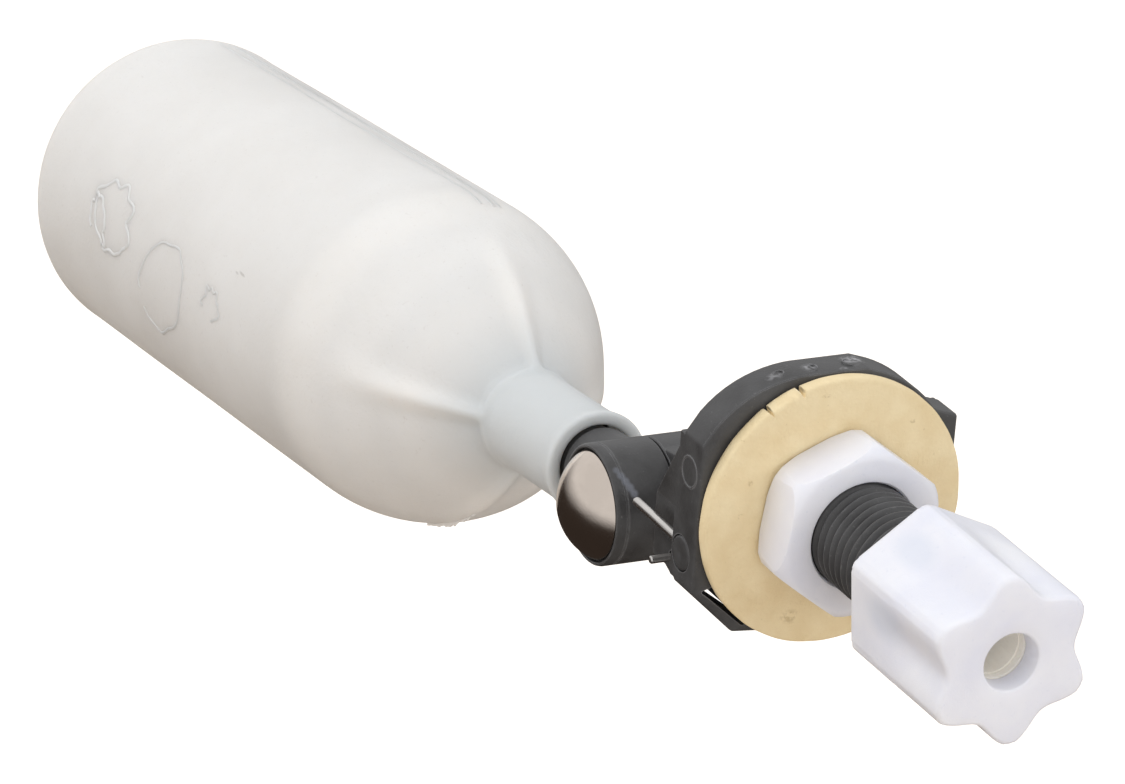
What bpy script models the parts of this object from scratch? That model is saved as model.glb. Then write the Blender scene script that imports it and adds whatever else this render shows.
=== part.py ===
"""Miniature float valve for a tank wall, with a bottle float on an adjustable arm.

The origin is on the shank's axis, in the plane of the wall gasket's sealing face.
+X runs along the shank, away from the tank, and +Z is up.
Sizes are in millimetres and become metres where a mesh is made.
"""
import math

import bmesh
import bpy
from mathutils import Matrix, Vector

MM = 0.001
GAP = 0.3          # running or seating gap between two pieces
ROUND = 32         # sides of the larger turned pieces
FINE = 20          # sides of pins and small washers

# Driving dimensions
THREAD_R = 6.6         # shank thread, over the crests
THREAD_DEPTH = 0.75
THREAD_PITCH = 1.41
SHANK_END = 35.0
TUBE_R = 3.3           # socket for a 6.35 mm tube
WATERWAY_R = 1.8
GASKET_R = 17.1
GASKET_T = 2.0
FLANGE_FRONT = -GASKET_T - GAP
FLANGE_BACK = -7.2
FLANGE_TOP = 17.1      # height of the flat on top of the flange
FLANGE_R = 17.5
LEFT_SWELL = 2.45      # how far the left shoulder stands outside the top's height
BOTTOM_R = 17.2
STRAP_CORNER = (11.1, -15.3)     # where the strap under each ear turns into the bottom
EAR_Y = 17.1           # half width over the ears
EAR_Z = 9.5
LOCK_NUT_FLATS = 19.6
LOCK_NUT_T = 7.0
NUT_BACK = 21.9
NUT_FRONT = 42.8
NUT_CORNER_R = 11.1    # sharp corner of the hexagon at the tube nut's back
NUT_LOBE_R = 10.8      # rounded tips of its lobes
NUT_SCALLOP = 2.46     # depth of the scallops at its front
PIVOT = (-17.2, 0.0, -11.9)      # lever's hinge axis, parallel to Y
HUB = (-47.3, 0.0, -18.6)        # float arm's clamp axis, parallel to Y
CLOSE_DEG = 12.0                 # lever travel from open to closed
ARM_TILT = 6.0                   # the arm's fall below the horizontal, in degrees
HUB_R = 7.85
ARM_DISC_Y = (-8.0, 0.3)
LEVER_DISC_Y = (0.6, 8.0)
NOZZLE_TIP = -11.2
SEAT_R = 5.0
SEAT_T = 2.0
GUIDE_Y = 14.0
GUIDE_Z = -7.0
BOTTLE_R = 23.1
BOTTLE_START = 14.2    # distances along the arm from the clamp axis
SHOULDER_START = 36.0
SHOULDER_END = 68.0
SHOULDER_POWER = 2.1   # how quickly the shoulder turns from the neck into the side
BOTTLE_END = 162.0
NECK_R = 6.6
NECK_BORE = 5.2
WALL = 1.2


def clear_scene():
    for obj in list(bpy.data.objects):
        bpy.data.objects.remove(obj, do_unlink=True)


def material(name, color, roughness, metallic=0.0):
    mat = bpy.data.materials.new(name)
    mat.use_nodes = True
    shader = mat.node_tree.nodes["Principled BSDF"]
    shader.inputs["Base Color"].default_value = (*color, 1.0)
    shader.inputs["Roughness"].default_value = roughness
    shader.inputs["Metallic"].default_value = metallic
    return mat


def add_mesh(name, verts, faces, mat):
    """A mesh object from points in millimetres, with its faces turned outwards."""
    mesh = bpy.data.meshes.new(name)
    mesh.from_pydata([Vector(v) * MM for v in verts], [], faces)
    bm = bmesh.new()
    bm.from_mesh(mesh)
    bmesh.ops.recalc_face_normals(bm, faces=bm.faces)
    bm.to_mesh(mesh)
    bm.free()
    mesh.materials.append(mat)
    mesh.shade_smooth()
    mesh.set_sharp_from_angle(angle=math.radians(35))
    obj = bpy.data.objects.new(name, mesh)
    bpy.context.collection.objects.link(obj)
    return obj


def on_axis(axis, along, radius, angle):
    a, b = radius * math.cos(angle), radius * math.sin(angle)
    if axis == "X":
        return (along, a, b)
    if axis == "Y":
        return (a, along, b)
    return (a, b, along)


def turned(name, profile, mat, axis="X", centre=(0, 0, 0), sides=ROUND, closed=False):
    """Turn (along, radius) points about an axis. A closed profile makes a ring,
    an open one starts and ends on the axis or gets flat ends."""
    points = list(profile)
    if not closed:
        if points[0][1] > 0:
            points.insert(0, (points[0][0], 0.0))
        if points[-1][1] > 0:
            points.append((points[-1][0], 0.0))
    verts, rings = [], []
    for along, radius in points:
        if radius == 0:
            rings.append([len(verts)] * sides)
            verts.append(on_axis(axis, along, 0, 0))
            continue
        rings.append(list(range(len(verts), len(verts) + sides)))
        verts += [on_axis(axis, along, radius, math.tau * k / sides) for k in range(sides)]
    pairs = list(zip(rings, rings[1:]))
    if closed:
        pairs.append((rings[-1], rings[0]))
    faces = []
    for low, high in pairs:
        for k in range(sides):
            n = (k + 1) % sides
            corners = [low[k], low[n], high[n], high[k]]
            faces.append(list(dict.fromkeys(corners)))
    verts = [Vector(v) + Vector(centre) for v in verts]
    return add_mesh(name, verts, faces, mat)


def prism(name, outline, low, high, mat, axis="Y"):
    """Extrude an outline along an axis: (y, z) points for X, (x, z) points for Y."""
    def place(u, v, along):
        return (along, u, v) if axis == "X" else (u, along, v)
    count = len(outline)
    verts = [place(u, v, low) for u, v in outline] + [place(u, v, high) for u, v in outline]
    faces = [list(range(count)), list(range(2 * count - 1, count - 1, -1))]
    faces += [[k, (k + 1) % count, (k + 1) % count + count, k + count] for k in range(count)]
    return add_mesh(name, verts, faces, mat)


def box(name, low, high, mat):
    (x0, y0, z0), (x1, y1, z1) = low, high
    return prism(name, [(x0, z0), (x1, z0), (x1, z1), (x0, z1)], y0, y1, mat)


def combine(target, tools, operation):
    """Join or cut with hidden tool objects, kept live as Boolean modifiers."""
    for tool in tools:
        tool.hide_render = True
        tool.display_type = "WIRE"
        tool.parent = target
        modifier = target.modifiers.new(f"{operation.lower()} {tool.name}", "BOOLEAN")
        modifier.operation = operation
        modifier.object = tool
    return target


def arc(centre, radius, start, end, steps):
    span = range(steps + 1)
    angles = [math.radians(start + (end - start) * k / steps) for k in span]
    return [(centre[0] + radius * math.cos(a), centre[1] + radius * math.sin(a)) for a in angles]


def empty_at(name, place, tilt_deg=0.0, parent=None):
    empty = bpy.data.objects.new(name, None)
    bpy.context.collection.objects.link(empty)
    offset = Vector(place)
    if parent:
        empty.parent = parent
        offset -= Vector(parent["place"])
    empty["place"] = place
    empty.location = offset * MM
    empty.rotation_euler = (0.0, math.radians(tilt_deg), 0.0)
    return empty


def hang_on(empty, *objects):
    """Parent pieces modelled in world places to an unturned empty on their joint's axis."""
    shift = Vector(empty["place"]) * MM
    for obj in objects:
        for piece in (obj, *obj.children):
            piece.data.transform(Matrix.Translation(-shift))
        obj.parent = empty


# ---------------------------------------------------------------- valve body

def polar(radius, deg):
    """A (y, z) point at an angle from the top, turning towards +Y."""
    return (radius * math.sin(math.radians(deg)), radius * math.cos(math.radians(deg)))


def flange_outline():
    """A round right shoulder, on +Y, and a left one that swells out to its ear."""
    right = [(4.0, FLANGE_TOP)] + [polar(FLANGE_R, deg) for deg in (22, 32, 42, 50, 57.1)]
    left = [(4.0, FLANGE_TOP)]
    for deg in (16, 24, 32, 42, 52):
        swell = math.sin(math.radians(min(1.5 * deg, 90))) ** 1.5
        left.append(polar(FLANGE_TOP + LEFT_SWELL * swell, deg))
    lower = [(EAR_Y, EAR_Z), (EAR_Y, -EAR_Z), STRAP_CORNER, (8.0, -15.6)]
    lower += [polar(BOTTOM_R, deg) for deg in (162, 174)]
    return right + lower + [(-y, z) for y, z in reversed(left + lower)]


def thread_profile(start, end):
    """Crests and roots of the shank as rings, from start to end along X."""
    points = []
    turns = int((end - start) / THREAD_PITCH)
    for k in range(turns):
        x = start + k * THREAD_PITCH
        points += [(x, THREAD_R - THREAD_DEPTH), (x + THREAD_PITCH / 2, THREAD_R)]
    return points + [(start + turns * THREAD_PITCH, THREAD_R - THREAD_DEPTH)]


def valve_body(mat):
    body = prism("valve_body", flange_outline(), FLANGE_BACK, FLANGE_FRONT, mat, axis="X")
    thread = thread_profile(0.6, SHANK_END - 0.8)
    shank = turned("shank tool", [(FLANGE_FRONT - 2.0, 6.4), (0.2, 6.4)] + thread
                   + [(SHANK_END, THREAD_R - THREAD_DEPTH)], mat, sides=24)
    rear_boss = turned("boss tool", [(FLANGE_BACK + 1.0, 5.6), (-9.0, 5.6)], mat)
    joins = [shank, rear_boss]
    bracket = [(FLANGE_BACK + 0.7, -8.0)]
    bracket += arc((PIVOT[0], PIVOT[2]), 2.1, 90, 270, 8)
    bracket += [(FLANGE_BACK + 0.7, -15.6)]
    gusset = [(FLANGE_BACK + 0.9, EAR_Z - 0.3), (FLANGE_BACK, EAR_Z - 0.3), (-13.1, -0.7),
              (FLANGE_BACK + 0.9, -0.7)]
    windows = []
    holes = []
    for side, label in ((-1, "left"), (1, "right")):
        inner, outer = sorted((side * 5.4, side * 8.6))
        joins.append(prism(f"bracket tool {label}", bracket, inner, outer, mat))
        inner, outer = sorted((side * 14.9, side * (EAR_Y - 0.02)))
        joins.append(prism(f"gusset tool {label}", gusset, inner, outer, mat))
        joins.append(box(f"ear tool {label}", (-8.2, inner, -EAR_Z + 0.1),
                         (FLANGE_FRONT - 0.6, outer, EAR_Z - 0.1), mat))
        window = [(side * y, z) for y, z in
                  ((14.2, -8.9), (15.8, -9.4), (10.0, -14.6), (8.8, -13.5))]
        windows.append(prism(f"window tool {label}", window, FLANGE_BACK - 1, FLANGE_FRONT + 1,
                             mat, axis="X"))
        holes.append(turned(f"guide hole {label}", [(-9.0, 0.85), (-4.0, 0.85)], mat,
                            centre=(0, side * GUIDE_Y, GUIDE_Z), sides=FINE))
        low, high = sorted((side * 15.0, side * 18.0))
        holes.append(turned(f"plug hole {label}", [(low, 2.0 + GAP), (high, 2.0 + GAP)], mat,
                            axis="Y", centre=(-5.7, 0, -5.6), sides=FINE))
    combine(body, joins, "UNION")
    bore = [(-10.0, 3.2), (-3.6, 3.2), (-3.6, WATERWAY_R), (27.0, WATERWAY_R), (27.0, TUBE_R),
            (32.0, TUBE_R), (SHANK_END + 0.2, 5.2), (SHANK_END + 1.0, 5.2)]
    holes.append(turned("bore tool", bore, mat, sides=24))
    holes.append(turned("pin hole body", [(-11.0, 0.8), (11.0, 0.8)], mat, axis="Y",
                        centre=PIVOT, sides=FINE))
    combine(body, windows + holes, "DIFFERENCE")
    return body


def orifice_insert(mat):
    profile = [(-4.0, 1.2), (-4.0, 2.9), (-9.3, 2.9), (-9.3, 4.2), (-9.9, 4.2), (-10.2, 3.4),
               (NOZZLE_TIP, 1.9), (NOZZLE_TIP, 1.2)]
    return turned("orifice_insert", profile, mat, sides=24, closed=True)


def wall_gasket(mat):
    edge = 0.25
    profile = [(0.0, THREAD_R + GAP), (0.0, GASKET_R - edge), (-edge, GASKET_R),
               (-GASKET_T + edge, GASKET_R), (-GASKET_T, GASKET_R - edge),
               (-GASKET_T, THREAD_R + GAP)]
    return turned("wall_gasket", profile, mat, sides=64, closed=True)


def ear_plug(name, side, mat):
    ends = sorted((side * (EAR_Y + 0.1), side * (EAR_Y - 1.7)))
    return turned(name, [(ends[0], 2.0), (ends[1], 2.0)], mat, axis="Y",
                  centre=(-5.7, 0, -5.6), sides=FINE)


def guide_pin(name, side, mat):
    profile = [(-4.3, 0.55), (-23.5, 0.55), (-23.8, 0.35)]
    return turned(name, profile, mat, centre=(0, side * GUIDE_Y, GUIDE_Z), sides=12)


def hinge_pin(mat):
    pin = turned("hinge_pin", [(-15.0, 0.5), (15.0, 0.5)], mat, axis="Y", sides=12)
    pin.location = Vector(PIVOT) * MM
    return pin


# ------------------------------------------------------------ nuts and tube

def hexagon(flats, turn_deg):
    radius = flats / 2 / math.cos(math.radians(30))
    return [(radius * math.cos(math.radians(turn_deg + 60 * k)),
             radius * math.sin(math.radians(turn_deg + 60 * k))) for k in range(6)]


def lock_nut(mat):
    back, front = GAP, GAP + LOCK_NUT_T
    nut = prism("lock_nut", hexagon(LOCK_NUT_FLATS, 22.5), back, front, mat, axis="X")
    corner = LOCK_NUT_FLATS / 2 / math.cos(math.radians(30))
    rounding = [(back - 0.01, corner - 1.4), (back + 0.6, corner - 0.45),
                (front - 1.2, corner - 0.45), (front + 0.01, corner - 2.0)]
    combine(nut, [turned("nut rounding", rounding, mat, sides=48)], "INTERSECT")
    hole = turned("nut hole", [(back - 1, THREAD_R + GAP), (front + 1, THREAD_R + GAP)], mat)
    return combine(nut, [hole], "DIFFERENCE")


def nut_radius(angle, depth):
    """Outer radius of the tube nut: a hexagon at depth 0, a scalloped star at depth 1."""
    turn = (angle + math.pi / 6) % (math.pi / 3) - math.pi / 6
    flat = NUT_CORNER_R * math.cos(math.pi / 6) / math.cos(math.pi / 6 - abs(turn))
    hollow = math.sin(3 * abs(turn)) ** 1.6
    star = NUT_LOBE_R - NUT_SCALLOP * hollow
    return min(NUT_LOBE_R, flat + (star - flat) * depth)


def compression_nut(mat):
    """Loft of six-lobed sections, hexagonal at the back and scalloped at the front."""
    sides = 48
    turn = math.radians(35.5)
    length = NUT_FRONT - NUT_BACK
    sections = [(0.0, 0.0, 0.7), (0.6, 0.0, 0.0), (0.16 * length, 0.0, 0.0),
                (0.45 * length, 0.45, 0.0), (0.75 * length, 0.85, 0.0),
                (length - 0.6, 1.0, 0.0), (length, 1.0, 0.6)]
    rings = []
    for offset, depth, chamfer in sections:
        ring = []
        for k in range(sides):
            angle = math.tau * k / sides
            radius = nut_radius(angle, depth) - chamfer
            ring.append(on_axis("X", NUT_BACK + offset, radius, angle + turn))
        rings.append(ring)
    bore = [(NUT_FRONT, 3.75), (NUT_FRONT - 0.3, 3.45), (39.8, 3.45), (39.8, 5.7), (36.2, 5.7),
            (36.2, THREAD_R + GAP), (NUT_BACK + 0.4, THREAD_R + GAP), (NUT_BACK, THREAD_R + 0.7)]
    for along, radius in bore:
        rings.append([on_axis("X", along, radius, math.tau * k / sides + turn)
                      for k in range(sides)])
    verts = [point for ring in rings for point in ring]
    faces = []
    for r in range(len(rings)):
        low, high = r * sides, (r + 1) % len(rings) * sides
        for k in range(sides):
            n = (k + 1) % sides
            faces.append([low + k, low + n, high + n, high + k])
    return add_mesh("compression_nut", verts, faces, mat)


def compression_sleeve(mat):
    profile = [(32.8, TUBE_R + 0.05), (32.8, 3.45), (36.2, 5.1), (38.3, 5.1), (38.3, TUBE_R + 0.05)]
    return turned("compression_sleeve", profile, mat, sides=24, closed=True)


def grab_ring(mat):
    profile = [(38.6, TUBE_R + 0.1), (38.6, 5.2), (39.5, 5.2), (39.5, TUBE_R + 0.1)]
    return turned("grab_ring", profile, mat, sides=24, closed=True)


# -------------------------------------------------------------------- lever

def seat_frame():
    """Centre of the seat's face at rest, and the unit direction that it faces."""
    angle = math.radians(-CLOSE_DEG)
    x, z = NOZZLE_TIP - GAP - PIVOT[0], -PIVOT[2]
    centre = (PIVOT[0] + x * math.cos(angle) + z * math.sin(angle), 0.0,
              PIVOT[2] - x * math.sin(angle) + z * math.cos(angle))
    return Vector(centre), -angle


def tilted(obj):
    """Turn a piece made about X at the origin into the seat's place at rest."""
    centre, angle = seat_frame()
    obj.data.transform(Matrix.Translation(centre * MM) @ Matrix.Rotation(-angle, 4, "Y"))
    return obj


def lever(mat):
    heel = FLANGE_BACK - GAP
    side = [(-22.4, -13.7), (-22.6, -5.6), (-17.6, 3.0), (-15.4, 3.0), (-15.4, -6.5),
            (-8.4, -10.6), (heel, -11.2), (heel, -14.1), (-14.0, -14.6), (-17.3, -14.3),
            (-18.9, -13.7)]
    body = prism("lever", side, -12.0, -9.0, mat)
    far_side = prism("fork tool", side, 9.0, 12.0, mat)
    back = [(-22.3, -13.6), (-22.5, -5.7), (-17.5, 2.9), (-15.6, 2.9), (-19.8, -6.0),
            (-19.8, -13.6)]
    back_plate = prism("back plate tool", back, -11.5, 11.5, mat)
    beam = [(-47.3, -11.4), (-38.0, -9.4), (-21.0, -5.0), (-21.0, -13.6), (-38.0, -20.6),
            (-47.3, -25.8)]
    beam_tool = prism("beam tool", beam, LEVER_DISC_Y[0] + 0.1, LEVER_DISC_Y[1] - 0.1, mat)
    disc = turned("disc tool", [(LEVER_DISC_Y[0], HUB_R), (LEVER_DISC_Y[1] - 0.6, HUB_R),
                                (LEVER_DISC_Y[1], HUB_R - 0.6)], mat, axis="Y", centre=HUB)
    cup = tilted(turned("cup tool", [(-4.6, 5.6), (-4.0, 6.4), (-0.9, 6.4)], mat, sides=24))
    combine(body, [back_plate, far_side, beam_tool, disc, cup], "UNION")
    pocket = tilted(turned("pocket tool", [(-SEAT_T - GAP, SEAT_R + GAP), (1, SEAT_R + GAP)],
                           mat, sides=24))
    pin_hole = turned("pin hole lever", [(-13.0, 0.8), (13.0, 0.8)], mat, axis="Y",
                      centre=PIVOT, sides=FINE)
    screw_hole = turned("screw hole lever", [(0.0, 2.3), (9.0, 2.3)], mat, axis="Y", centre=HUB,
                        sides=FINE)
    return combine(body, [pocket, pin_hole, screw_hole], "DIFFERENCE")


def seat_disc(mat):
    edge = 0.2
    profile = [(-SEAT_T, SEAT_R), (-edge, SEAT_R), (0.0, SEAT_R - edge)]
    return tilted(turned("seat_disc", profile, mat, sides=24))


# ---------------------------------------------------------------- float arm
# These pieces are modelled about the clamp axis: the arm runs along local -X.

def float_arm(mat):
    low, high = ARM_DISC_Y
    disc = [(low, HUB_R - 0.7), (low + 0.25, HUB_R - 0.2), (low + 0.8, HUB_R), (high, HUB_R)]
    arm = turned("float_arm", disc, mat, axis="Y", sides=40)
    spigot = [(-3.0, 4.4), (-3.0, 5.2), (-13.9, 5.2), (-13.9, 4.6), (-18.0, 4.6), (-18.0, 3.9),
              (-20.2, 3.9), (-20.2, 4.6), (-25.0, 4.6), (-26.0, 3.8)]
    combine(arm, [turned("spigot tool", spigot, mat)], "UNION")
    recess = turned("dome recess", [(low - 1, 7.25), (low + 0.7, 7.25)], mat, axis="Y")
    neck = box("neck recess", (-2.45, low, -2.45), (2.45, low + 3.3, 2.45), mat)
    hole = turned("screw hole arm", [(low, 2.3), (high + 1, 2.3)], mat, axis="Y", sides=FINE)
    relief = turned("lever relief", [(high, HUB_R + 0.35), (9.0, HUB_R + 0.35)], mat, axis="Y",
                    sides=40)
    return combine(arm, [recess, neck, hole, relief], "DIFFERENCE")


def dome_screw(mat):
    """Carriage screw: a domed head, a square neck and a plain shank."""
    base = ARM_DISC_Y[0] + 0.7 - GAP
    edge, rise, across = 0.3, 4.0, 7.0
    sphere = (across ** 2 + rise ** 2) / (2 * rise)
    dome = []
    for k in range(7):
        radius = across * math.cos(math.pi / 2 * k / 6) if k < 6 else 0.0
        height = math.sqrt(sphere ** 2 - radius ** 2) - (sphere - rise)
        dome.append((base - edge - height, radius))
    shank = [(14.6, 1.6), (14.2, 2.0), (base, 2.0), (base, 6.9)]
    screw = turned("dome_screw", shank + dome, mat, axis="Y")
    neck = box("square neck tool", (-2.15, base - 0.6, -2.15), (2.15, base + 2.5, 2.15), mat)
    return combine(screw, [neck], "UNION")


def washer(name, inner, outer, low, high, mat):
    profile = [(low, inner), (low, outer), (high, outer), (high, inner)]
    return turned(name, profile, mat, axis="Y", sides=24, closed=True)


def lock_washer(mat):
    ring = washer("lock_washer", 2.3, 3.8, 9.4, 10.3, mat)
    split = box("split tool", (2.0, 9.0, -0.25), (4.5, 11.0, 0.25), mat)
    return combine(ring, [split], "DIFFERENCE")


def wing_nut(mat):
    hub = [(10.6, 3.9), (13.8, 3.1), (14.0, 2.8)]
    nut = turned("wing_nut", hub, mat, axis="Y", sides=24)
    wing = [(1.8, 11.0), (4.6, 11.2), (8.4, 13.4), (10.6, 16.6), (10.4, 18.0), (9.0, 18.4),
            (7.2, 17.6), (4.4, 14.2), (1.8, 13.4)]
    wings = []
    for side in (-1, 1):
        verts = [(side * u, v, w) for w in (-0.8, 0.8) for u, v in wing]
        count = len(wing)
        faces = [list(range(count)), list(range(2 * count - 1, count - 1, -1))]
        faces += [[k, (k + 1) % count, (k + 1) % count + count, k + count]
                  for k in range(count)]
        wings.append(add_mesh(f"wing tool {side}", verts, faces, mat))
    combine(nut, wings, "UNION")
    hole = turned("wing nut hole", [(10.0, 2.3), (15.0, 2.3)], mat, axis="Y", sides=FINE)
    return combine(nut, [hole], "DIFFERENCE")


def neck_o_ring(mat):
    centre, thick = 4.55, 0.5
    profile = [(-19.1 + thick * 0.9 * math.cos(math.tau * k / 8), centre
                + thick * math.sin(math.tau * k / 8)) for k in range(8)]
    return turned("neck_o_ring", profile, mat, sides=24, closed=True)


def bottle_outer():
    """Outer wall as (distance along the arm, radius): neck, shoulder, side and rounded base."""
    points = [(BOTTLE_START, NECK_R + 0.5), (BOTTLE_START + 3.0, NECK_R + 0.2),
              (SHOULDER_START - 2.0, NECK_R)]
    steps, corner = 9, 6.0
    for k in range(steps + 1):
        left = 1 - k / steps
        points.append((SHOULDER_END - (SHOULDER_END - SHOULDER_START) * left,
                       BOTTLE_R - (BOTTLE_R - NECK_R - 0.2) * left ** SHOULDER_POWER))
    for k in range(0, 5):
        angle = math.radians(22.5 * k)
        points.append((BOTTLE_END - corner + corner * math.sin(angle),
                       BOTTLE_R - corner + corner * math.cos(angle)))
    return points


def float_bottle(mat):
    """A blow-moulded shell, open at its neck, with a base that is slightly pushed in."""
    outer = bottle_outer()
    inner = []
    for s, radius in reversed(outer):
        if s > BOTTLE_END - 6.0:
            inner.append((s - WALL, radius - WALL * 0.6))
        elif s > SHOULDER_START:
            inner.append((min(s + WALL * 0.7, BOTTLE_END - 6.0 - WALL), radius - WALL))
        else:
            inner.append((s, NECK_BORE))
    push = [(BOTTLE_END - 1.6, 8.0), (BOTTLE_END - 2.0, 0.0)]
    push_inner = [(BOTTLE_END - 2.0 - WALL, 0.0), (BOTTLE_END - 1.6 - WALL, 8.0)]
    rings = outer + push + push_inner + inner
    rings = [(-s, radius) for s, radius in rings]
    return turned_loop("float_bottle", rings, mat, sides=40)


def turned_loop(name, points, mat, sides):
    """Turn a closed section that touches the axis in two places, as a cup does."""
    verts, rings = [], []
    for along, radius in points:
        if radius == 0:
            rings.append([len(verts)] * sides)
            verts.append((along, 0, 0))
        else:
            rings.append(list(range(len(verts), len(verts) + sides)))
            verts += [on_axis("X", along, radius, math.tau * k / sides) for k in range(sides)]
    faces = []
    for index, low in enumerate(rings):
        high = rings[(index + 1) % len(rings)]
        for k in range(sides):
            n = (k + 1) % sides
            corners = list(dict.fromkeys([low[k], low[n], high[n], high[k]]))
            if len(corners) > 2:
                faces.append(corners)
    return add_mesh(name, verts, faces, mat)


def main():
    clear_scene()
    black = material("black_plastic", (0.035, 0.035, 0.037), 0.45)
    white = material("white_nylon", (0.86, 0.87, 0.90), 0.4)
    cream = material("cream_gasket", (0.80, 0.68, 0.42), 0.8)
    acetal = material("natural_acetal", (0.80, 0.76, 0.66), 0.45)
    steel = material("stainless_steel", (0.62, 0.61, 0.59), 0.25, 1.0)
    chrome = material("bright_chrome", (0.85, 0.85, 0.85), 0.06, 1.0)
    rubber = material("black_rubber", (0.02, 0.02, 0.02), 0.7)
    milky = material("milky_polythene", (0.85, 0.84, 0.80), 0.5)

    valve_body(black)
    orifice_insert(acetal)
    wall_gasket(cream)
    lock_nut(white)
    for name, side in (("left", -1), ("right", 1)):
        ear_plug(f"ear_plug_{name}", side, black)
        guide_pin(f"guide_pin_{name}", side, steel)
    hinge_pin(steel)
    compression_nut(white)
    compression_sleeve(acetal)
    grab_ring(acetal)

    pivot = empty_at("lever_axis", PIVOT)
    hang_on(pivot, lever(black), seat_disc(rubber))
    hub = empty_at("clamp_axis", HUB, parent=pivot)
    for piece in (washer("clamp_washer", 2.3, 5.0, 8.3, 9.1, steel), lock_washer(steel),
                  wing_nut(steel)):
        piece.parent = hub
    arm = empty_at("arm_axis", HUB, tilt_deg=-ARM_TILT, parent=pivot)
    for piece in (float_arm(black), dome_screw(chrome), neck_o_ring(rubber),
                  float_bottle(milky)):
        piece.parent = arm


main()
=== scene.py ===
# %% [markdown]
# # A float valve with a bottle float
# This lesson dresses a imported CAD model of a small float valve. The valve is screwed through a
# tank wall, and a blow-moulded bottle on a hinged arm shuts it when the water is high enough.

# %% Load the frame
import math
import random

import bmesh
import bpy
from mathutils import Matrix, Vector, noise


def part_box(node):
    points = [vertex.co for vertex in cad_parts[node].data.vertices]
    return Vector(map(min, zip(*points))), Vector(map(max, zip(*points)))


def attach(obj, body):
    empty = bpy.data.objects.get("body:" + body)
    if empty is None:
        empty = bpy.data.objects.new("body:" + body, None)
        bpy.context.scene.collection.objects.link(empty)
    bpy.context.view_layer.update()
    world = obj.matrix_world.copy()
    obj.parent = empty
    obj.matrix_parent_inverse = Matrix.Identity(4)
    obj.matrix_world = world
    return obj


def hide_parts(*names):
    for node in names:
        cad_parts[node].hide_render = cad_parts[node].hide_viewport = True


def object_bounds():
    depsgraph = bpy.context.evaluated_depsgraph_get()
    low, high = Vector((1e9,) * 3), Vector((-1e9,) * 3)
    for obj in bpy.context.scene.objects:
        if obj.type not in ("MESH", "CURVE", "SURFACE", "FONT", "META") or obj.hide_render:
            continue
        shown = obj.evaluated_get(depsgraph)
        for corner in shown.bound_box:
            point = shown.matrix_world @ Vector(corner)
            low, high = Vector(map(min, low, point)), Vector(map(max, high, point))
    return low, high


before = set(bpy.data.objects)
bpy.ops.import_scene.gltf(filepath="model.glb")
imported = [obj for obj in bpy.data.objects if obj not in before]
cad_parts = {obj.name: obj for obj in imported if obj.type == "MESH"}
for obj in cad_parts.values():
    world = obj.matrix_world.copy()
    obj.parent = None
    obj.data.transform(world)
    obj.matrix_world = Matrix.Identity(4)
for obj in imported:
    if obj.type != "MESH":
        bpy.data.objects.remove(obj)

cad_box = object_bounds()
MM = 0.001

# %% [markdown]
# ## The camera, the light and the floor
# The valve is seen from its tube end, a little from above, with the float running away to the
# upper left. A long lens from far off keeps the sizes true. The light is that of a white tent,
# with big soft panels above, in front and at the right, so that black plastic keeps thin edge
# highlights. The panels above and in front are hidden from reflections, because a square light
# mirrored in a polished dome looks like a window.

# %% Camera
CAMERA_PLACE = Vector((0.5340, -0.3090, 0.2728))
AZIMUTH, ELEVATION, ROLL = math.radians(-26.98), math.radians(22.88), math.radians(4.15)

back = Vector((math.cos(ELEVATION) * math.cos(AZIMUTH), math.cos(ELEVATION) * math.sin(AZIMUTH),
               math.sin(ELEVATION)))
level = Vector((0, 0, 1)).cross(back).normalized()
upright = back.cross(level)
right = math.cos(ROLL) * level + math.sin(ROLL) * upright
top = math.cos(ROLL) * upright - math.sin(ROLL) * level
bpy.ops.object.camera_add()
camera = bpy.context.object
camera.name = "camera"
turned = Matrix((right, top, back)).transposed().to_4x4()
camera.matrix_world = Matrix.Translation(CAMERA_PLACE) @ turned
camera.data.sensor_width = 36.0
camera.data.lens = 182.0
camera.data.clip_start, camera.data.clip_end = 0.01, 20.0
bpy.context.scene.camera = camera
bpy.context.scene.view_settings.view_transform = "Standard"
print("camera at", tuple(round(v, 3) for v in CAMERA_PLACE))

# %% Light tent
def add_panel(name, place, target, size, power, tint=(1, 1, 1)):
    """A square soft light at a place, turned towards a target."""
    bpy.ops.object.light_add(type="AREA", location=place)
    light = bpy.context.object
    light.name = name
    light.data.shape = "SQUARE"
    light.data.size = size
    light.data.energy = power
    light.data.color = tint
    light.rotation_euler = (Vector(target) - Vector(place)).to_track_quat("-Z", "Y").to_euler()
    return light


MIDDLE = (-0.04, 0.0, -0.02)
above = add_panel("panel above", (-0.32, -0.34, 0.50), (-0.12, 0.0, -0.03), 0.6, 2.15)
front = add_panel("panel front", (0.70, -0.25, 0.22), MIDDLE, 0.6, 1.3)
add_panel("panel right", (0.60, 0.45, 0.35), MIDDLE, 0.5, 1.0)
above.visible_glossy = front.visible_glossy = False
world = bpy.data.worlds.new("white tent")
world.use_nodes = True
world.node_tree.nodes["Background"].inputs["Color"].default_value = (1.0, 1.0, 1.0, 1.0)
world.node_tree.nodes["Background"].inputs["Strength"].default_value = 0.70
bpy.context.scene.world = world

# %% [markdown]
# The floor is a plain pale sheet, far enough below that the valve's shadow on it stays soft and
# that the bottle hangs clear of it at the arm's lowest position. It looks white to the camera and
# warm to the valve, so that what shines back up from it is the light of a workbench.
# It is left out of reflections, so that shiny parts mirror a bright sky over a dark ground,
# which is what gives polished metal its contrast.

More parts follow.
